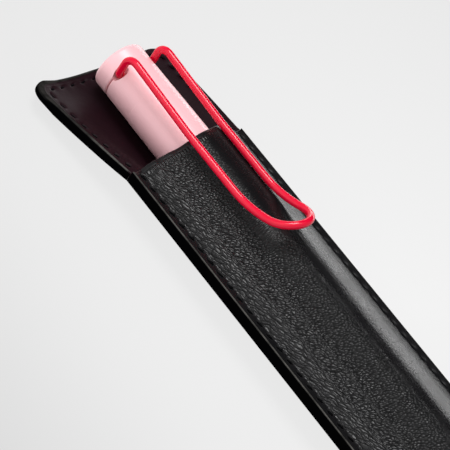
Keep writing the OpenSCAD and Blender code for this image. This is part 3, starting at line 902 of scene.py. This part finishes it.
def outline(from_y, turn_y, end_y, r, step=0.7):
    """The sleeve's outline in plan, down one side, round the end and back up the other side."""
    count = round(abs(turn_y - from_y) / step)
    side = [(float(edge_x(y)), y) for y in np.linspace(from_y, turn_y, count + 1)]
    turn = 1 if end_y > turn_y else -1
    corner = []
    for a in np.linspace(0, math.pi / 2, 13):
        y = turn_y + turn * r * math.sin(a)
        corner.append((float(edge_x(y)) - r * (1 - math.cos(a)), y))
    last = corner[-1][0]
    half = side + corner[1:] + [(x, end_y) for x in np.linspace(last, 0, round(last / step) + 1)[1:]]
    return np.array([(-x, y) for x, y in half] + [(x, y) for x, y in reversed(half[:-1])])


def ribbon(path, top_of, tip_highlight):
    """Rings of a band over the edge of the layers, and how much each of their points is painted lighter.

    A point of the profile says how far out it lies, its level from bottom 0 to top 1, a lift in
    millimetres, and how much it is painted lighter: partly rubbed wear on the arris, partly a painted
    highlight. Near the tip, points of the upper rounding that face up also get a painted highlight.
    """
    ahead = np.vstack([path[1:], path[-1:]])
    behind = np.vstack([path[:1], path[:-1]])
    tangent = unit(ahead - behind)
    outward = np.stack([tangent[:, 1], -tangent[:, 0], 0 * tangent[:, 0]], axis=-1)
    if outward[0, 0] * path[0, 0] < 0:
        outward = -outward
    top = top_of(path[:, 0], path[:, 1])
    bottom = off(back_z, path[:, 0], path[:, 1], under_face(path[:, 1]))[0]
    upright = unit(top - bottom)
    outward = unit(outward - np.sum(outward * upright, axis=1)[:, None] * upright)
    rounded = smooth_step((np.abs(path[:, 1]) - (tip_y - 6.0)) / 4.0) * tip_highlight
    from_corner = np.hypot(path[:, 0] + tip_half_w, path[:, 1] - tip_y)
    swell = np.interp(from_corner, swell_at, swell_by)[:, None]
    rings, wear_and_highlight = [], []
    for out, level, lift, rubbed_and_lit in RIBBON_PROFILE:
        outer = swell if out > -0.2 else 0 * swell
        rings.append(bottom + level * (top - bottom) + lift * upright + (out + outer) * outward)
        # Near the tongue's tip, points of the upper rounding that face up get a painted highlight.
        facing_up = 1.0 if level == 1.0 and out > -0.2 else 0.0
        wear_and_highlight.append(np.maximum(rubbed_and_lit, facing_up * rounded))
    return np.stack(rings, axis=1), np.stack(wear_and_highlight, axis=1)


def top_of_front(x, y):
    return off(front_z, x, y, front_t)[0]


def top_of_tongue(x, y):
    return off(back_z, x, y, 0.0)[0]


def ribbon_faces(rings, offset):
    """Faces between the rings, with both ends closed. The offset is the number of the first point."""
    count, sides = rings.shape[:2]
    at = offset + np.arange(count * sides).reshape(count, sides)
    faces = []
    for i in range(count - 1):
        for k in range(sides):
            n = (k + 1) % sides
            faces.append([int(at[i, k]), int(at[i, n]), int(at[i + 1, n]), int(at[i + 1, k])])
    faces.append([int(v) for v in at[0][::-1]])
    faces.append([int(v) for v in at[-1]])
    return faces


print("ribbon profile with", len(RIBBON_PROFILE), "points")

# %% Painted edge
pocket_outline = outline(mouth_y - 0.05, bottom_y + bottom_corner_r, bottom_y, bottom_corner_r)
tongue_outline = outline(mouth_y + 0.12, tip_y - tip_corner_r, tip_y, tip_corner_r)
pocket_rings, pocket_wear_and_highlight = ribbon(pocket_outline, top_of_front, 0.0)
tongue_rings, tongue_wear_and_highlight = ribbon(tongue_outline, top_of_tongue, 0.5)
# The painted lighter line and highlight fade along the tongue, away from the mouth.
tongue_wear_and_highlight = tongue_wear_and_highlight * (1 - 0.7 * smooth_step((tongue_outline[:, 1] - mouth_y - 8.0) / 8.0))[:, None]
pocket_points, tongue_points = pocket_rings.reshape(-1, 3), tongue_rings.reshape(-1, 3)
edge_faces = ribbon_faces(pocket_rings, 0) + ribbon_faces(tongue_rings, len(pocket_points))
edge_mesh = mesh_from("painted_edge", np.vstack([pocket_points, tongue_points]), edge_faces)
edge_wear_and_highlight = np.concatenate([pocket_wear_and_highlight.ravel(), tongue_wear_and_highlight.ravel()]).astype(np.float32)
# Each point stores its share of rubbed wear and painted highlight.
edge_mesh.attributes.new("wear_and_highlight", "FLOAT", "POINT").data.foreach_set("value", edge_wear_and_highlight)
face_outward(edge_mesh)
shade(edge_mesh, 60.0)
painted_edge = link("painted_edge", edge_mesh, paint)
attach(painted_edge, "sleeve")
print("painted edge:", len(edge_mesh.vertices), "points")

# %% [markdown]
# ## Stitches
# One stitch is a short, fat bit of waxed thread. Geometry Nodes set it on every place found above:
# the places are points with two directions stored on them, the thread's own and the leather's
# normal, and the tree turns a small round body to both. A little seeded variation keeps the row
# from looking machined. The result is baked to a plain mesh, since exporters drop instances.

# %% Material: waxed thread
def thread_finish(name):
    made, tree, shader = material(name, {
        "Base Color": (0.0025, 0.0025, 0.003, 1), "Specular IOR Level": 0.03})
    at = add(tree, "ShaderNodeTexCoord").outputs["Object"]
    twist = add(tree, "ShaderNodeTexWave", {"Vector": at, "Scale": 1400.0, "Distortion": 1.0},
                bands_direction="DIAGONAL").outputs["Fac"]
    set_bump(tree, shader, twist, 0.03)
    drive(shader, "Roughness", map_range(tree, twist, 0.0, 1.0, 0.65, 0.8))
    return made


thread = thread_finish("waxed_thread")
print("material", thread.name)

# %% Helpers for Geometry Nodes
def new_tree(name, sockets):
    tree = bpy.data.node_groups.new(name, "GeometryNodeTree")
    tree.interface.new_socket("Geometry", in_out="INPUT", socket_type="NodeSocketGeometry")
    for label, kind, value in sockets:
        socket = tree.interface.new_socket(label, in_out="INPUT", socket_type=kind)
        socket.default_value = value
    tree.interface.new_socket("Geometry", in_out="OUTPUT", socket_type="NodeSocketGeometry")
    return tree, tree.nodes.new("NodeGroupInput"), tree.nodes.new("NodeGroupOutput")


def finish_tree(tree, geometry, finish, output):
    solid = add(tree, "GeometryNodeRealizeInstances", {"Geometry": geometry})
    smooth = add(tree, "GeometryNodeSetShadeSmooth", {"Geometry": solid.outputs[0]})
    named = add(tree, "GeometryNodeSetMaterial", {"Geometry": smooth.outputs[0], "Material": finish})
    tree.links.new(named.outputs[0], output.inputs[0])


def bake(name, source, tree, values):
    """Runs a tree on an object and keeps the result as a plain mesh object of its own."""
    modifier = source.modifiers.new(tree.name, "NODES")
    modifier.node_group = tree
    for item in tree.interface.items_tree:
        if item.item_type == "SOCKET" and item.in_out == "INPUT" and item.name in values:
            modifier[item.identifier] = values[item.name]
    depsgraph = bpy.context.evaluated_depsgraph_get()
    mesh = bpy.data.meshes.new_from_object(source.evaluated_get(depsgraph))
    mesh.name = name
    source.modifiers.remove(modifier)
    bpy.data.objects.remove(source)
    piece = bpy.data.objects.new(name, mesh)
    bpy.context.scene.collection.objects.link(piece)
    return piece


print("tree helpers ready")

# %% Geometry Nodes: a stitch on every place
stitch_tree, tree_in, tree_out = new_tree("stitch_row", [
    ("Stitch Length", "NodeSocketFloat", 0.0018),
    ("Thread Diameter", "NodeSocketFloat", 0.0005),
    ("Seed", "NodeSocketInt", 4),
])
bit = add(stitch_tree, "GeometryNodeMeshUVSphere", {"Segments": 8, "Rings": 6, "Radius": 0.5})
thick = tree_in.outputs["Thread Diameter"]
size = add(stitch_tree, "ShaderNodeCombineXYZ",
           {"X": tree_in.outputs["Stitch Length"], "Y": thick, "Z": thick})
bit = add(stitch_tree, "GeometryNodeTransform", {"Geometry": bit.outputs["Mesh"], "Scale": size.outputs[0]})
along, normal = [
    add(stitch_tree, "GeometryNodeInputNamedAttribute", {"Name": key},
        data_type="FLOAT_VECTOR").outputs["Attribute"]
    for key in ("along", "normal_out")
]
aimed = add(stitch_tree, "FunctionNodeAlignRotationToVector", {"Vector": along}, axis="X")
aimed = add(stitch_tree, "FunctionNodeAlignRotationToVector",
            {"Rotation": aimed.outputs[0], "Vector": normal}, axis="Z", pivot_axis="X")
vary = add(stitch_tree, "FunctionNodeRandomValue",
           {"Min": (0.9, 0.9, 0.9), "Max": (1.08, 1.06, 1.06), "Seed": tree_in.outputs["Seed"]},
           data_type="FLOAT_VECTOR")
placed = add(stitch_tree, "GeometryNodeInstanceOnPoints", {
    "Points": tree_in.outputs["Geometry"], "Instance": bit.outputs[0],
    "Rotation": aimed.outputs[0], "Scale": vary.outputs[0]})
finish_tree(stitch_tree, placed.outputs[0], thread, tree_out)
print("tree", stitch_tree.name, "with", len(stitch_tree.nodes), "nodes")

# %% Stitch rows
def stitch_row(name, stitches, height, length, seed):
    middle = stitches["middle"] + height * stitches["normal"]
    mesh = mesh_from(name + "_places", middle, [])
    for key, values in (("along", stitches["along"]), ("normal_out", stitches["normal"])):
        stored = mesh.attributes.new(key, "FLOAT_VECTOR", "POINT")
        stored.data.foreach_set("vector", values.astype(np.float32).ravel())
    source = bpy.data.objects.new(name + "_places", mesh)
    bpy.context.scene.collection.objects.link(source)
    piece = bake(name, source, stitch_tree, {
        "Stitch Length": length * MM, "Thread Diameter": thread_d * MM, "Seed": seed})
    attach(piece, "sleeve")
    print(name, len(piece.data.polygons), "faces")
    return piece


def joined_rows(*rows):
    return {key: np.concatenate([row[key] for row in rows]) for key in rows[0]}


thread_d = 0.5
pocket_thread = stitch_row("pocket_stitches", pocket_stitches, front_t - 0.42, 1.7, 4)
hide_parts("pocket_thread")
tongue_thread = stitch_row("tongue_stitches", tongue_stitches, -0.34, 1.5, 7)
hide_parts("tongue_thread")
under_rows = joined_rows(back_stitches, back_tongue_stitches)
depth_below = under_face(under_rows["middle"][:, 1])[:, None]
under_rows["middle"] = under_rows["middle"] + depth_below * under_rows["normal"]
back_thread = stitch_row("back_stitches", under_rows, 0.2, 1.85, 11)
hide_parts("back_thread")

# %% [markdown]
# ## Cap
# The cap and its head are turned parts in pink plastic with a satin sheen. A lathe helper spins an
# outline of radius against length round the pen's axis. The two holes that take the clip are then
# cut straight down through the groove between cap and head with a Boolean, which leaves the
# slanted, drop-shaped mouths that such a bore has on a round body. Between the holes the two parts
# meet without a groove, so a small function closes it there.

# %% Material: satin pink plastic
def plastic(name, color, low_rough, high_rough, coat, depth=0.006):
    made, tree, shader = material(name, {
        "Base Color": (*color, 1), "Coat Weight": coat, "Coat Roughness": 0.25})
    cloud = solid_noise(tree, 90.0, 3.0)
    drive(shader, "Roughness", map_range(tree, cloud, 0.3, 0.7, low_rough, high_rough))
    darker = tuple(0.96 * c for c in color)
    drive(shader, "Base Color", blend(tree, cloud, (*darker, 1), (*color, 1)))
    set_bump(tree, shader, solid_noise(tree, 3500.0, 2.0), depth)
    return made


pink = plastic("satin_pink_plastic", (0.95, 0.55, 0.585), 0.33, 0.43, 0.3)
print("material", pink.name)

# %% Lathe helper
AROUND = 128


def lathe(name, outline_points, finish, closed_loop=False, reshape=None):
    """Spins points of (radius, y) round the pen's axis into a closed mesh."""
    points, rings = [], []
    for r, y in outline_points:
        if r < 1e-6:
            rings.append([len(points)])
            points.append((0.0, y, pen_z))
            continue
        rings.append(list(range(len(points), len(points) + AROUND)))
        for k in range(AROUND):
            a = 2 * math.pi * k / AROUND
            r_here, y_here = reshape(r, y, a) if reshape else (r, y)
            points.append((r_here * math.sin(a), y_here, pen_z + r_here * math.cos(a)))
    pairs = list(zip(rings[:-1], rings[1:]))
    if closed_loop:
        pairs.append((rings[-1], rings[0]))
    faces = []
    for low, high in pairs:
        for k in range(AROUND):
            n = (k + 1) % AROUND
            if len(low) == 1 and len(high) > 1:
                faces.append([low[0], high[n], high[k]])
            elif len(high) == 1 and len(low) > 1:
                faces.append([low[k], low[n], high[0]])
            elif len(low) > 1:
                faces.append([low[k], low[n], high[n], high[k]])
    mesh = mesh_from(name, points, faces)
    face_outward(mesh)
    return link(name, mesh, finish)


def arc_points(middle_r, middle_y, radius, from_deg, to_deg, steps=8):
    """Points of an arc in an outline: 0 degrees points away from the axis, 90 along +Y."""
    angles = np.radians(np.linspace(from_deg, to_deg, steps + 1))
    return [(middle_r + radius * math.cos(a), middle_y + radius * math.sin(a)) for a in angles]


print("lathe ready, with", AROUND, "sides")

# %% Bores for the clip
bore_up = 5.0
bore_l = 7.0


def cut_holes(piece):
    """Cuts the clip's two bores down into a turned piece and keeps a plain mesh."""
    cutters = []
    for side in (-1, 1):
        bm = bmesh.new()
        middle = Vector((side * (wire_x - hole_in), hole_y - hole_down, pen_z + bore_up))
        bmesh.ops.create_cone(bm, cap_ends=True, segments=48, radius1=hole_r * MM, radius2=hole_r * MM,
                              depth=bore_l * MM, matrix=Matrix.Translation(middle * MM))
        cutter_mesh = bpy.data.meshes.new("bore")
        bm.to_mesh(cutter_mesh)
        bm.free()
        cutter = bpy.data.objects.new("bore", cutter_mesh)
        bpy.context.scene.collection.objects.link(cutter)
        cutters.append(cutter)
        boolean = piece.modifiers.new("bore", "BOOLEAN")
        boolean.operation = "DIFFERENCE"
        boolean.object = cutter
        boolean.solver = "EXACT"
    depsgraph = bpy.context.evaluated_depsgraph_get()
    mesh = bpy.data.meshes.new_from_object(piece.evaluated_get(depsgraph))
    piece.modifiers.clear()
    piece.data = mesh
    for cutter in cutters:
        bpy.data.objects.remove(cutter)
    return piece


print(f"bores {2 * hole_r} mm wide ready")

# %% Cap and head
cap_wall = 1.3
cap_in_r = cap_r - cap_wall
top_t = 1.6
stem_r = 1.0
stem_fit = 0.25
arris = 0.14
groove_r = 0.38
step_y = mouth_y + 13.6
step_h = 0.04
skin_gap = 0.01
groove_end_deg = 62.0
inside_y = cap_top_y - top_t


def cap_r_at(y):
    share = np.clip((y - mouth_y) / (cap_top_y - mouth_y), 0, 1)
    return float(cap_r + (cap_top_r - cap_r) * share)


cap_outline = (
    [(cap_in_r, cap_mouth_y), (cap_r - arris, cap_mouth_y)]
    + arc_points(cap_r - arris, cap_mouth_y + arris, arris, -90, 0, 4)[1:]
    + [(cap_r, mouth_y - 20), (cap_r, mouth_y), (cap_r_at(step_y), step_y)]
    + [(cap_r_at(step_y) - step_h, step_y + 0.05)]
    + [(cap_r_at(cap_top_y - 6) - step_h / 2, cap_top_y - 6), (cap_top_r, cap_top_y - groove_r)]
    + arc_points(cap_top_r - groove_r, cap_top_y - groove_r, groove_r, 0, 90, 6)[1:]
    + [(stem_r + stem_fit, cap_top_y), (stem_r + stem_fit, inside_y), (cap_in_r, inside_y)]
)


def closed_between_holes(a):
    """From 0 where the groove shows, on the sides and the back, to 1 between the two holes."""
    from_top = abs(math.degrees((a + math.pi) % (2 * math.pi) - math.pi))
    return float(smooth_step((groove_end_deg - from_top) / 6.0))


def cap_shape(r, y, a):
    if r > cap_in_r and y > cap_top_y - groove_r:
        r += (cap_top_r - r) * closed_between_holes(a)
    return r, y


def head_shape(r, y, a):
    if r > cap_in_r and y < head_y + groove_r:
        share = closed_between_holes(a)
        r += (cap_top_r - r) * share
        y -= (head_gap + skin_gap) * share * (1 - (y - head_y) / groove_r)
    return r, y


cap = lathe("cap", cap_outline, pink, closed_loop=True, reshape=cap_shape)
cut_holes(cap)
shade(cap.data, 30.0)
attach(cap, "cap")
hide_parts("pen_cap")

dome_r = 1.1
stem_y = head_y - head_gap
head_outline = (
    [(0, stem_y - top_t), (stem_r, stem_y - top_t), (stem_r, stem_y + skin_gap)]
    + [(cap_in_r - skin_gap, stem_y + skin_gap), (cap_in_r - skin_gap, head_y)]
    + [(cap_top_r - groove_r, head_y)]
    + arc_points(cap_top_r - groove_r, head_y + groove_r, groove_r, -90, 0, 6)[1:]
    + [(cap_top_r, head_end_y - dome_r)]
    + arc_points(cap_top_r - dome_r, head_end_y - dome_r, dome_r, 0, 90, 14)[1:]
    + [(cap_top_r * 0.5, head_end_y), (0, head_end_y)]
)
head = lathe("cap_head", head_outline, pink, reshape=head_shape)
cut_holes(head)
shade(head.data, 30.0)
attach(head, "cap")
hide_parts("pen_cap_head")
print("cap:", len(cap.data.polygons), "faces, head:", len(head.data.polygons), "faces")

# %% [markdown]
# ## Wire clip
# The clip is one wire with both feet in the cap. It rises out of the two holes, bends over, runs
# down over the panel and ends in a loop that curves away, so that it slides over leather easily.
# Its path follows a rule, so it is drawn as a curve, and Geometry Nodes sweep a round profile
# along it. The enamel is thick and glossy: a saturated red under a clear coat.

# %% Material: red enamel
def enamel(name):
    made, tree, shader = material(name, {
        "Coat Weight": 0.8, "Coat Roughness": 0.15, "Specular IOR Level": 0.0})
    waves = solid_noise(tree, 260.0, 2.0)
    set_bump(tree, shader, waves, 0.002)
    drive(shader, "Base Color", blend(tree, waves, (0.70, 0.001, 0.029, 1), (0.78, 0.002, 0.035, 1)))
    drive(shader, "Roughness", map_range(tree, waves, 0.0, 1.0, 0.25, 0.35))
    return made


red = enamel("red_enamel")
print("material", red.name)

# %% Path of the wire
clip_top_h = 9.2
clip_low_h = 8.2
clip_l = 53.4
kick_l = 15.5
kick_h = 5.5
bend_r = 2.5
foot_r = 1.6
foot_gap = 1.2
foot_h = 2.4
clip_end_y = hole_y - clip_l
kick_y = clip_end_y + kick_l
loop_y = clip_end_y + wire_x


def clip_h(y):
    """Height of the wire over the pen's axis."""
    if y >= mouth_y:
        return clip_low_h + (clip_top_h - clip_low_h) * (y - mouth_y) / (hole_y - bend_r - mouth_y)
    if y >= kick_y:
        return clip_low_h
    return clip_low_h + kick_h * ((kick_y - y) / kick_l) ** 2


def half_path():
    """The right half of the wire: its foot, the bend, the long run down and half of the loop."""
    quarter = np.radians(np.linspace(0, 90, 19))
    path = [(foot_gap, hole_y, foot_h)]
    for a in quarter:
        path.append((wire_x - foot_r + foot_r * math.sin(a), hole_y, foot_h + foot_r * (1 - math.cos(a))))
    for a in quarter:
        path.append((wire_x, hole_y - bend_r * (1 - math.cos(a)), clip_top_h - bend_r * (1 - math.sin(a))))
    path += [(wire_x, y, clip_h(y)) for y in np.linspace(hole_y - bend_r, loop_y, 60)[1:]]
    for a in np.radians(np.linspace(0, 90, 31))[1:]:
        y = loop_y - wire_x * math.sin(a)
        path.append((wire_x * math.cos(a), y, clip_h(y)))
    return path


right_half = half_path()
wire_path = np.array(right_half + [(-x, y, z) for x, y, z in reversed(right_half[:-1])])
wire_path[:, 2] += pen_z
print("wire path with", len(wire_path), "points")

# %% Geometry Nodes: wire along a path
wire_tree, wire_in, wire_out = new_tree("wire", [
    ("Wire Diameter", "NodeSocketFloat", 0.0018),
    ("Sides", "NodeSocketInt", 32),
])
radius = math_node(wire_tree, "MULTIPLY", wire_in.outputs["Wire Diameter"], 0.5)
ring = add(wire_tree, "GeometryNodeCurvePrimitiveCircle",
           {"Resolution": wire_in.outputs["Sides"], "Radius": radius}, mode="RADIUS")
swept = add(wire_tree, "GeometryNodeCurveToMesh", {
    "Curve": wire_in.outputs["Geometry"], "Profile Curve": ring.outputs[0], "Fill Caps": True})
finish_tree(wire_tree, swept.outputs[0], red, wire_out)

curve = bpy.data.curves.new("wire_path", "CURVE")
curve.dimensions = "3D"
spline = curve.splines.new("POLY")
spline.points.add(len(wire_path) - 1)
for point, place in zip(spline.points, wire_path * MM):
    point.co = (*place, 1)
wire_source = bpy.data.objects.new("wire_path", curve)
bpy.context.scene.collection.objects.link(wire_source)
clip = bake("wire_clip", wire_source, wire_tree, {"Wire Diameter": wire_d * MM, "Sides": 32})
shade(clip.data, 50.0)
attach(clip, "clip")
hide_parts("pen_clip")
print("wire clip:", len(clip.data.polygons), "faces")

# %% [markdown]
# ## Barrel, grip and refill
# These sit inside the sleeve and the cap and come to light when the pen is drawn out. Their shapes
# are right as built, so they keep their construction solids and only get finishes: the same pink
# on the barrel, dark satin plastic on the grip and liner, rubber on the ring, pale plastic on the
# refill's tube and turned steel on its tip.

# %% Finishes of the inner parts
grip_finish = plastic("dark_grip_plastic", (0.045, 0.04, 0.042), 0.38, 0.5, 0.0, 0.01)
rubber = plastic("ring_rubber", (0.012, 0.012, 0.012), 0.7, 0.85, 0.0, 0.02)
tube_finish = plastic("refill_tube_plastic", (0.55, 0.55, 0.57), 0.3, 0.42, 0.1)


def turned_metal(name):
    made, tree, shader = material(name, {"Metallic": 1.0, "Base Color": (0.62, 0.62, 0.64, 1)})
    at = add(tree, "ShaderNodeTexCoord").outputs["Object"]
    rings = add(tree, "ShaderNodeTexWave", {"Vector": at, "Scale": 2600.0, "Distortion": 0.6},
                bands_direction="Y").outputs["Fac"]
    drive(shader, "Roughness", map_range(tree, rings, 0.0, 1.0, 0.2, 0.36))
    set_bump(tree, shader, rings, 0.006)
    return made


steel = turned_metal("turned_steel")
finishes = {
    "pen_barrel": pink,
    "pen_grip": grip_finish,
    "pen_cap_liner": grip_finish,
    "pen_seal_ring": rubber,
    "pen_refill": tube_finish,
    "pen_refill_tip": steel,
}
for node_name, finish in finishes.items():
    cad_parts[node_name].material_slots[0].material = finish
print("finishes on", len(finishes), "construction solids")

# %% [markdown]
# ## Table and light
# The sleeve lies on a pale table. Its paleness is a colour that the camera, mirrors and glass
# see, and not more light on the sleeve. That colour is a painted falloff of light: brightest a
# little right of the sleeve, darker further away, and darker still to the left. High over it hangs
# one soft lamp, a little towards the pen's head. All round stands a pale sky. On the right a dark
# flag hides part of it, which keeps the crown of the panel deep black, and under the flag a bright
# low wall draws the thin highlight along the crown's right side. Two faint fills from the left shape
# the flank and the cap.

# %% Table
table_half = 3.0
pale_middle = 0.895
pale_far = 0.80
pale_reach = 0.12
painted_left_shade = 0.18
seen_share = 0.92

corners = [(-table_half, -table_half, 0), (table_half, -table_half, 0),
           (table_half, table_half, 0), (-table_half, table_half, 0)]
table_mesh = bpy.data.meshes.new("table")
table_mesh.from_pydata(corners, [], [(0, 1, 2, 3)])
table_finish, table_tree, table_shader = material("pale_table", {
    "Base Color": (0.80, 0.80, 0.80, 1), "Roughness": 0.9, "Specular IOR Level": 0.1})
table_at = add(table_tree, "ShaderNodeTexCoord").outputs["Object"]
table_x = add(table_tree, "ShaderNodeSeparateXYZ", {0: table_at}).outputs["X"]
away = add(table_tree, "ShaderNodeVectorMath", {0: table_at, 1: (0.036, 0.0, 0.0)},
           operation="DISTANCE").outputs["Value"]
# The glow's colour is painted light falloff: it fades with distance from a point right of the sleeve, and a
# painted shade darkens it further to the left.
pale = map_range(table_tree, away, 0.0, pale_reach, pale_middle, pale_far)
pale = math_node(table_tree, "SUBTRACT", pale, smooth_range(table_tree, table_x, -0.03, -0.13, painted_left_shade))
glow = add(table_tree, "ShaderNodeEmission", {"Color": pale, "Strength": 1.0})
rays = add(table_tree, "ShaderNodeLightPath").outputs
seen = math_node(table_tree, "MAXIMUM", rays["Is Camera Ray"], rays["Is Glossy Ray"])
seen = math_node(table_tree, "MAXIMUM", seen, rays["Is Transmission Ray"])
seen = math_node(table_tree, "MULTIPLY", seen, seen_share)
both = add(table_tree, "ShaderNodeMixShader", {0: seen, 1: table_shader.outputs[0], 2: glow.outputs[0]})
table_tree.links.new(both.outputs[0], table_tree.nodes["Material Output"].inputs["Surface"])
table = link("table", table_mesh, table_finish)
table.location.z = -0.00005
print("table ready")

# %% Sky
sky_levels = [(0.0, 0.8), (0.1, 0.68), (0.25, 0.48), (0.7, 0.42), (1.0, 0.5)]
flag_depth = 0.9
wall_radiance = 7.0
flank_fill = 0.35
cap_fill = 0.6

world = bpy.data.worlds.new("studio")
bpy.context.scene.world = world
world.use_nodes = True
sky_tree = world.node_tree
background = sky_tree.nodes["Background"]
direction = add(sky_tree, "ShaderNodeTexCoord").outputs["Generated"]
height_of = add(sky_tree, "ShaderNodeSeparateXYZ", {0: direction}).outputs["Z"]
sky = add(sky_tree, "ShaderNodeValToRGB", {0: height_of})
ramp = sky.color_ramp
ramp.elements[1].position = sky_levels[-1][0]
for middle_level in sky_levels[1:-1]:
    ramp.elements.new(middle_level[0])
for element, (place, level_here) in zip(ramp.elements, sky_levels):
    element.color = (level_here, level_here, level_here, 1)


def lobe(toward, inner_deg, outer_deg):
    """Share of a soft round patch of sky, from 0 outside to 1 inside."""
    facing = add(sky_tree, "ShaderNodeVectorMath", {0: direction, 1: Vector(toward).normalized()},
                 operation="DOT_PRODUCT").outputs["Value"]
    outer, inner = math.cos(math.radians(outer_deg)), math.cos(math.radians(inner_deg))
    return smooth_range(sky_tree, facing, outer, inner)


flag = lobe((0.85, 0.26, 0.45), 25, 45)
low_band = smooth_range(sky_tree, height_of, 0.1, 0.04)
wall = math_node(sky_tree, "MULTIPLY", low_band, lobe((0.96, 0.26, 0.05), 22, 40))
flank_side = lobe((-0.38, 0.26, 0.89), 12, 38)
cap_side = lobe((-0.85, 0.2, 0.5), 15, 45)
unflagged = math_node(sky_tree, "MULTIPLY_ADD", flag, -flag_depth, 1.0)
lit = math_node(sky_tree, "MULTIPLY", sky.outputs["Color"], unflagged)
for patch, radiance in [(wall, wall_radiance), (flank_side, flank_fill), (cap_side, cap_fill)]:
    lit = math_node(sky_tree, "ADD", lit, math_node(sky_tree, "MULTIPLY", patch, radiance))
sky_tree.links.new(lit, background.inputs["Color"])
background.inputs["Strength"].default_value = 1.0
print("sky with", len(sky_levels), "levels")

# %% Lamp
lamp_side = 1.4
lamp_distance = 3.0
lamp_radiance = 10.5
lamp_toward = Vector((0.0, 0.23, 0.97)).normalized()
lamp_data = bpy.data.lights.new("soft_lamp", "AREA")
lamp_data.shape = "SQUARE"
lamp_data.size = lamp_side
lamp_data.energy = lamp_radiance * math.pi * lamp_side**2
lamp = bpy.data.objects.new("soft_lamp", lamp_data)
bpy.context.scene.collection.objects.link(lamp)
lamp.location = camera_aim + lamp_distance * lamp_toward
lamp.rotation_euler = (-lamp_toward).to_track_quat("-Z", "Y").to_euler()
bpy.context.scene.view_settings.view_transform = "Standard"
print(f"lamp of {lamp_data.energy:.2f} W")
